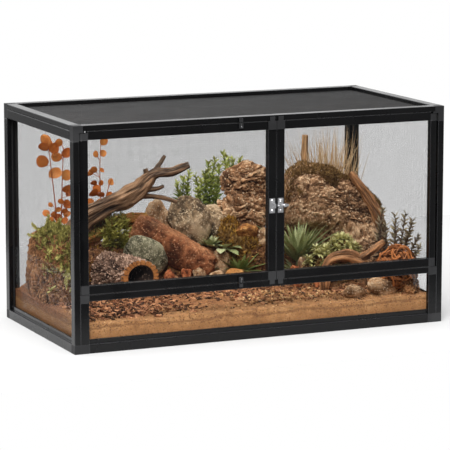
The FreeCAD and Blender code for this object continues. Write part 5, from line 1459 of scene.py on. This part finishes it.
pointed = rosette(above_ground(62, 44, 14), 34, (72, 13), (0.15, 1.35), 0.2, 81)
tall = together(rosette(above_ground(204, 30, 36), 52, (134, 11), (0.7, 1.5), 0.4, 82),
                rosette(above_ground(204, 30, 6), 36, (76, 10), (0.1, 0.9), 0.5, 80))
broad_leaved = together(rosette((2, 82, 158), 20, (44, 15), (0.3, 1.35), 0.5, 83, thick=0.12),
                        rosette((30, 74, 152), 11, (50, 22), (0.0, 0.8), 0.6, 89, oval, 0.1))
plant("pointed_agave", pointed, agave_green)
plant("pale_agave", tall, blue_green)
plant("broad_rosette", broad_leaved, grey_green)

# %% Succulent bush
HEAPS = (((236, -24, 124), (70, 50, 60), 26), ((292, -22, 134), (76, 54, 84), 36))
FRONT_AND_TOP = (0, -0.6, 0.9)
draw = np.random.default_rng(84)
spots = [np.array(middle) + unit(draw.normal(size=(count, 3)) + FRONT_AND_TOP) * np.array(size) / 2
         for middle, size, count in HEAPS]
heads = [rosette(spot, 18, (21, 6.4), (-0.4, 1.45), 0.3, 85 + 3 * k)
         for k, spot in enumerate(np.concatenate(spots))]
heaps = together(bark_dome((236, -24), (58, 44), (58, 148), 78, (9, 5), (50, 80), 2.2),
                 bark_dome((292, -22), (64, 48), (58, 170), 77, (9, 5), (50, 80), 2.2))
plant("succulent_heads", together(*heads), pale_green)
plant("succulent_core", heaps, brown_moss)

# %% [markdown]
# ## Needle sprigs, fern and shrub
# The sprigs behind the boulder are upright stems set all round with short needles. A stem is a thin tube
# on a smooth path from its root to its tip, and leaves start along it at even steps, turning by the
# golden angle. The fern and the dark shrub use the same function with other tips, sizes and finishes.

# %% Sprigs
STEM_ROWS, STEM_SIDES, STEM_TAPER = 16, 5, (1.1, 0.45)
ON_LEVEL, ASIDE, ROOT_SPREAD = (1, 1, 0), (0.3, 0.9, 0.1), (5, 4, 0)


def sprigs(root, tips, leaf, seed, each, begin, open_angle=0.85, bow=0.12, stem=1.5):
    """Stems from near one root to given tips, bowed outwards; a leaf points along the stem and out from
    it, as the cosine and sine of its opening angle; `each` leaves start at the share `begin`."""
    draw = np.random.default_rng(seed)
    tips = np.array(tips, float)
    count = len(tips)
    start = np.array(root, float) + draw.normal(0, 1, (count, 3)) * ROOT_SPREAD
    reach = tips - start
    length = np.linalg.norm(reach, axis=1, keepdims=True)
    middle = start + 0.55 * reach + bow * length * unit(reach * ON_LEVEL) * ON_LEVEL
    middle = middle - 0.5 * bow * reach * ON_LEVEL
    path = smooth_path(np.stack([start, middle, tips], axis=1), STEM_ROWS)
    stalk, straight, _ = swept(path, stem * np.linspace(*STEM_TAPER, STEM_ROWS)[None], STEM_SIDES)
    share = np.linspace(begin, 1, each)
    spans = STEM_ROWS - 1
    index = np.minimum((share * spans).astype(int), spans - 1)
    mix = (share * spans - index)[None, :, None]
    base = path[:, index] * (1 - mix) + path[:, index + 1] * mix
    ahead = unit(np.gradient(path, axis=1))[:, index]
    side = unit(np.cross(ahead, ASIDE))
    turn = (GOLDEN * np.arange(each))[None, :, None] + draw.uniform(0, 6, (count, 1, 1))
    outward = np.cos(turn) * side + np.sin(turn) * np.cross(ahead, side)
    angle = open_angle * (1.1 - 0.5 * share)[None, :, None] * draw.uniform(0.75, 1.25, (count, each, 1))
    way = (np.cos(angle) * ahead + np.sin(angle) * outward).reshape(-1, 3)
    long = leaf[0] * (1.15 - 0.55 * share)[None] * draw.uniform(0.75, 1.15, (count, each))
    bright = clipped(0.2 + 0.65 * share[None] + draw.normal(0, 0.12, (count, each)))
    roll = draw.uniform(-1.4, 1.4, len(way))
    needles = blades(base.reshape(-1, 3), *bearing_and_rise(way), 0.25, long.ravel(), leaf[1], lance,
                     seed + 1, thick=0.3, rows=4, roll=roll, shade=bright.ravel(), fold=0.2)
    return together(skin(stalk, shade=0.15, straight=straight), needles)


print("a stem has", STEM_ROWS, "rings of", STEM_SIDES, "points")

# %% Sprigs and fern
TALL_TIPS = [(83, 190, 357), (107, 188, 343), (126, 187, 343), (46, 190, 338), (62, 189, 346),
             (95, 191, 349), (116, 188, 318), (52, 188, 308), (74, 186, 330), (98, 186, 312),
             (36, 189, 318), (68, 187, 300)]
LEFT_TIPS = [(-36, 186, 296), (-4, 186, 324), (24, 185, 300), (-20, 187, 306), (10, 186, 308),
             (-30, 186, 272), (14, 184, 276), (-10, 184, 284)]
FERN_TIPS = [(-252, 118, 206), (-240, 115, 236), (-222, 118, 256), (-207, 116, 250), (-190, 114, 226),
             (-178, 112, 206), (-246, 110, 186), (-200, 106, 192), (-226, 104, 202), (-184, 108, 188),
             (-214, 110, 224), (-236, 124, 222), (-196, 120, 238), (-168, 116, 190)]
upright = together(sprigs((80, 191, 162), TALL_TIPS, (24, 5.6), 91, 48, 0.3, 1.15),
                   sprigs((8, 188, 162), LEFT_TIPS, (22, 5.4), 93, 40, 0.3, 1.15))
plant("needle_sprigs", upright, fresh_green)
plant("fern", sprigs((-216, 128, 158), FERN_TIPS, (19, 4.8), 97, 36, 0.2, 1.0), deep_green)

# %% Shrub and sprigs on the mound
SHRUB_TIPS = [(384, -52, 240), (398, -90, 230), (410, -118, 238), (418, -138, 224), (424, -160, 192),
              (424, -166, 166), (402, -84, 200), (386, -64, 206), (416, -122, 192), (376, -56, 214)]
MOUND_TIPS = [(-428, 104, 236), (-426, 62, 226), (-424, 30, 212), (-410, 50, 250), (-396, 84, 256),
              (-428, 134, 208), (-420, 8, 188), (-378, 60, 250), (-366, 30, 236)]
HANGING_TIPS = [(-404, -20, 150), (-388, -26, 132), (-370, -24, 148), (-354, -20, 128), (-412, -14, 176),
                (-362, -22, 178), (-396, -28, 112), (-376, -30, 96)]
plant("twig_shrub", sprigs((388, -46, 60), SHRUB_TIPS, (25, 4.8), 99, 40, 0.35, 1.1, 0.1, 2.2), dark_twig)
hanging = together(sprigs((-392, 70, 200), MOUND_TIPS, (14, 4.6), 94, 28, 0.3),
                   sprigs((-380, 20, 190), HANGING_TIPS, (13, 4.6), 92, 28, 0.25))
plant("mound_sprigs", hanging, moss_green)

# %% [markdown]
# ## Moss and small leaves
# Moss covers the clump in the middle, the top of the cork hill, the fallen log and parts of the bank, and
# small yellow-green leaves cover the soil mound. Each tuft is a very short blade. Roots are picked from
# points of the surface that carries them, so that the tufts follow it, and lean away from it.

# %% Tufts
UP_AND_FORWARD = (0, -0.3, 0.95)


def tufts(spots, outward, count, leaf, seed, upright=0.25):
    """Short leaves on picked points of a surface; each leans along the outward direction there, a little
    raised."""
    draw = np.random.default_rng(seed)
    pick = draw.integers(0, len(spots), count)
    bearing, rise = bearing_and_rise(outward[pick])
    bearing = bearing + draw.normal(0, 0.8, count)
    rise = rise + draw.normal(upright, 0.45, count)
    reach = draw.uniform(0.6, 1.3, count) * leaf[0]
    return blades(spots[pick], bearing, rise, 0.3, reach, leaf[1], lance, seed + 1, thick=0.3, rows=3,
                  roll=draw.uniform(-1.4, 1.4, count))


def on_top(spots, *values):
    """Tufts that all lean up and a little forward."""
    return tufts(spots, 0 * spots + UP_AND_FORWARD, *values)


print("tufts on level ground lean along", UP_AND_FORWARD)

# %% Moss clump
MOSS_MIDDLE = (72, 76, 130)
moss_core = together(bark_dome((56, 84), (62, 54), (84, 220), 79, (10, 6), (60, 90), 2.3),
                     bark_dome((92, 68), (56, 50), (84, 190), 76, (10, 6), (60, 90), 2.3))
moss_spots = moss_core["place"]
plant("moss_clump", tufts(moss_spots, unit(moss_spots - MOSS_MIDDLE), 4600, (9, 2.8), 101), ochre_moss)
plant("moss_core", moss_core, brown_moss)

# %% Leaves on the mound
MOUND_MIDDLE, LEAFY_SIDE, LEAFY_FROM = (-381, 92, 110), unit(np.array((0.6, -0.6, 0.65))), 0.36
clump_spots = clump_skin["place"]
clump_out = unit(clump_spots - MOUND_MIDDLE)
leafed = clump_out @ LEAFY_SIDE + 0.45 * rough(clump_spots, 36, 3, 6) > LEAFY_FROM
plant("mound_leaves", tufts(clump_spots[leafed], clump_out[leafed], 3300, (12, 4.6), 103, 0.35), moss_green)

# %% Moss on the hill, the log and the bank
RIDGE_FROM, RIDGE_OVER, MOSSY_LEFT, MOSSY_OVER, MOSSY_FROM = 290, 30, 250, 120, 0.95
LOG_ABOVE, LOG_LEFT_OF, PATCH_FROM = 188, -195, 0.1
hill_spots, hill_ways = hill.reshape(-1, 3), hill_out.reshape(-1, 3)
ridge_share = clipped((hill_spots[:, 2] - RIDGE_FROM) / RIDGE_OVER)
leftward = np.maximum((MOSSY_LEFT - hill_spots[:, 0]) / MOSSY_OVER, 0.35 * ridge_share)
mossy = hill_ways[:, 2] * 0.9 + leftward + 0.6 * rough(hill_spots, 50, 2, 7) > MOSSY_FROM
mossy &= hill_ways[:, 2] > -0.1
plant("hill_moss", tufts(hill_spots[mossy], hill_ways[mossy], 6000, (8, 2.4), 105), brown_moss)
log_spots = log_skin["place"]
leftmost = log_spots[:, 0] + 30 * rough(log_spots, 20, 2, 9) < LOG_LEFT_OF
log_spots = log_spots[(log_spots[:, 2] > LOG_ABOVE) & leftmost]
plant("log_moss", on_top(log_spots, 1200, (8, 2.6), 109), moss_green)
tuft_x, tuft_y, _ = strewn(2400, (-310, 72), (220, 205), 107)
patch = rough(level_places(tuft_x, tuft_y), 70, 2, 5) > PATCH_FROM
bank_spots = np.stack([tuft_x, tuft_y, ground(tuft_x, tuft_y)], axis=-1)[patch]
plant("bank_moss", on_top(bank_spots, 1500, (9, 2.6), 108, 0.0), ochre_moss)

# %% [markdown]
# ## Dry grass and the dead stub
# Behind the cork hill stands a fan of dry stalks, with one thick dead stub at its left. Each stalk is a
# long narrow blade with a small bend, and the fan opens because the stalks lean more the further they
# stand from its middle.

# %% Grass fan and stub
STALKS, FAN_MIDDLE, FAN_HALF, FAN_BACK, FAN_FOOT = 300, 354.0, 48.0, 190, 160.0
draw = np.random.default_rng(111)
offset = draw.normal(0, 0.5, STALKS).clip(-1, 1)
grass_root = np.stack([FAN_MIDDLE + FAN_HALF * offset, FAN_BACK + draw.normal(0, 5, STALKS),
                       np.full(STALKS, FAN_FOOT)], axis=-1)
lean_way = np.where(offset > 0, 0.0, math.pi) + draw.normal(0, 0.6, STALKS)
lean = np.clip(1.5 - 0.2 * np.abs(offset) + draw.normal(0, 0.1, STALKS), 1.0, 1.54)
bend = draw.normal(0.05, 0.25, STALKS)
long = draw.uniform(150, 266, STALKS)
stalks = blades(grass_root, lean_way, lean, bend, long, 1.9, needle, 112, thick=0.8, rows=7)
stub_path = [(298, 193, 160), (299, 193, 250), (298, 193, 330), (300, 193, 390)]
stub = limb(stub_path, (9, 8.5, 8, 6.5), 113, (70, 24))
plant("dry_stalks", stalks, straw, ["dry_grass"])
plant("dead_stub", stub, pale_stem, ["dry_grass"], smooth=True)

# %% [markdown]
# ## Round orange leaves
# Two dried stems carry round, rust-orange leaves. Their places are given one by one, as side position,
# height and radius, because each leaf is large enough to be seen alone. A thin stalk joins each leaf to
# its stem.

# %% Leaf stems
LEFT_LEAVES = [(-366, 413, 15), (-368, 399, 13), (-356, 404, 14), (-345, 396, 13), (-327, 404, 11),
               (-367, 366, 15), (-333, 374, 14), (-311, 381, 14), (-336, 335, 17), (-313, 330, 13),
               (-308, 289, 10), (-361, 244, 9), (-337, 253, 8), (-321, 249, 8), (-350, 262, 7),
               (-328, 270, 8), (-316, 300, 12), (-344, 238, 9), (-330, 232, 10), (-312, 262, 11),
               (-310, 238, 9), (-352, 228, 8), (-320, 224, 9), (-338, 218, 8)]
RIGHT_LEAVES = [(-222, 405, 11), (-239, 375, 8.5), (-218, 375, 8.5), (-244, 338, 10), (-222, 336, 8),
                (-202, 308, 8.5), (-246, 307, 8.5), (-226, 306, 7), (-245, 283, 13), (-228, 278, 10),
                (-206, 275, 10), (-236, 256, 9), (-214, 250, 8), (-222, 232, 8), (-250, 330, 9),
                (-238, 292, 11), (-250, 262, 10), (-230, 262, 9)]
LEFT_STEMS = [[(-338, 191, 120), (-336, 190, 210), (-346, 191, 320), (-356, 191, 408)],
              [(-336, 191, 120), (-326, 190, 230), (-322, 190, 330), (-318, 190, 395)]]
RIGHT_STEMS = [[(-218, 191, 150), (-226, 190, 240), (-229, 191, 330), (-226, 191, 400)],
               [(-218, 191, 150), (-220, 190, 220), (-212, 190, 280), (-200, 190, 315)]]
LEAF_BACK, STALK_BELOW, STALK_RADIUS, LEAF_STEM = 190, (0, 0, 16), 0.6, (1.9, 0.7)


def stalked_leaves(leaves, stems, seed):
    """Bent stems, round leaves at given places, and a thin straight stalk from the nearest lower stem
    point."""
    draw = np.random.default_rng(seed)
    across, height, radius = np.array(leaves, float).T
    count = len(leaves)
    paths = smooth_path(stems, 30)
    stem, stem_straight, _ = swept(paths, np.linspace(*LEAF_STEM, 30)[None], 6)
    centre = np.stack([across, LEAF_BACK + draw.normal(0, 6, count), height], axis=-1)
    spots = paths.reshape(-1, 3)
    gap = np.linalg.norm(spots[None] - (centre - STALK_BELOW)[:, None], axis=-1)
    start = spots[gap.argmin(axis=1)]
    bearing = np.where(across > start[:, 0], 0.0, math.pi) + draw.normal(0, 0.3, count)
    rise = draw.uniform(0.2, 1.2, count)
    base = centre - direction(bearing, rise) * radius[:, None]
    share = np.linspace(0, 1, 6)[None, :, None]
    stalk_path = start[:, None] * (1 - share) + base[:, None] * share
    stalk, stalk_straight, _ = swept(stalk_path, STALK_RADIUS, 5)
    wide = 2 * radius * draw.uniform(0.75, 1.05, count)
    droop = draw.normal(0.1, 0.45, count)
    plates = blades(base, bearing, rise, droop, 2 * radius, wide, disc, seed + 1, thick=0.05, rows=11,
                    roll=draw.uniform(0.7, 2.0, count), fold=0.3)
    return together(skin(stem, shade=0.05, straight=stem_straight),
                    skin(stalk, shade=0.1, straight=stalk_straight), plates)


leaf_skins = together(stalked_leaves(LEFT_LEAVES, LEFT_STEMS, 121),
                      stalked_leaves(RIGHT_LEAVES, RIGHT_STEMS, 123))
plant("rust_leaves", leaf_skins, rust_leaf, ["leaf_stems"])
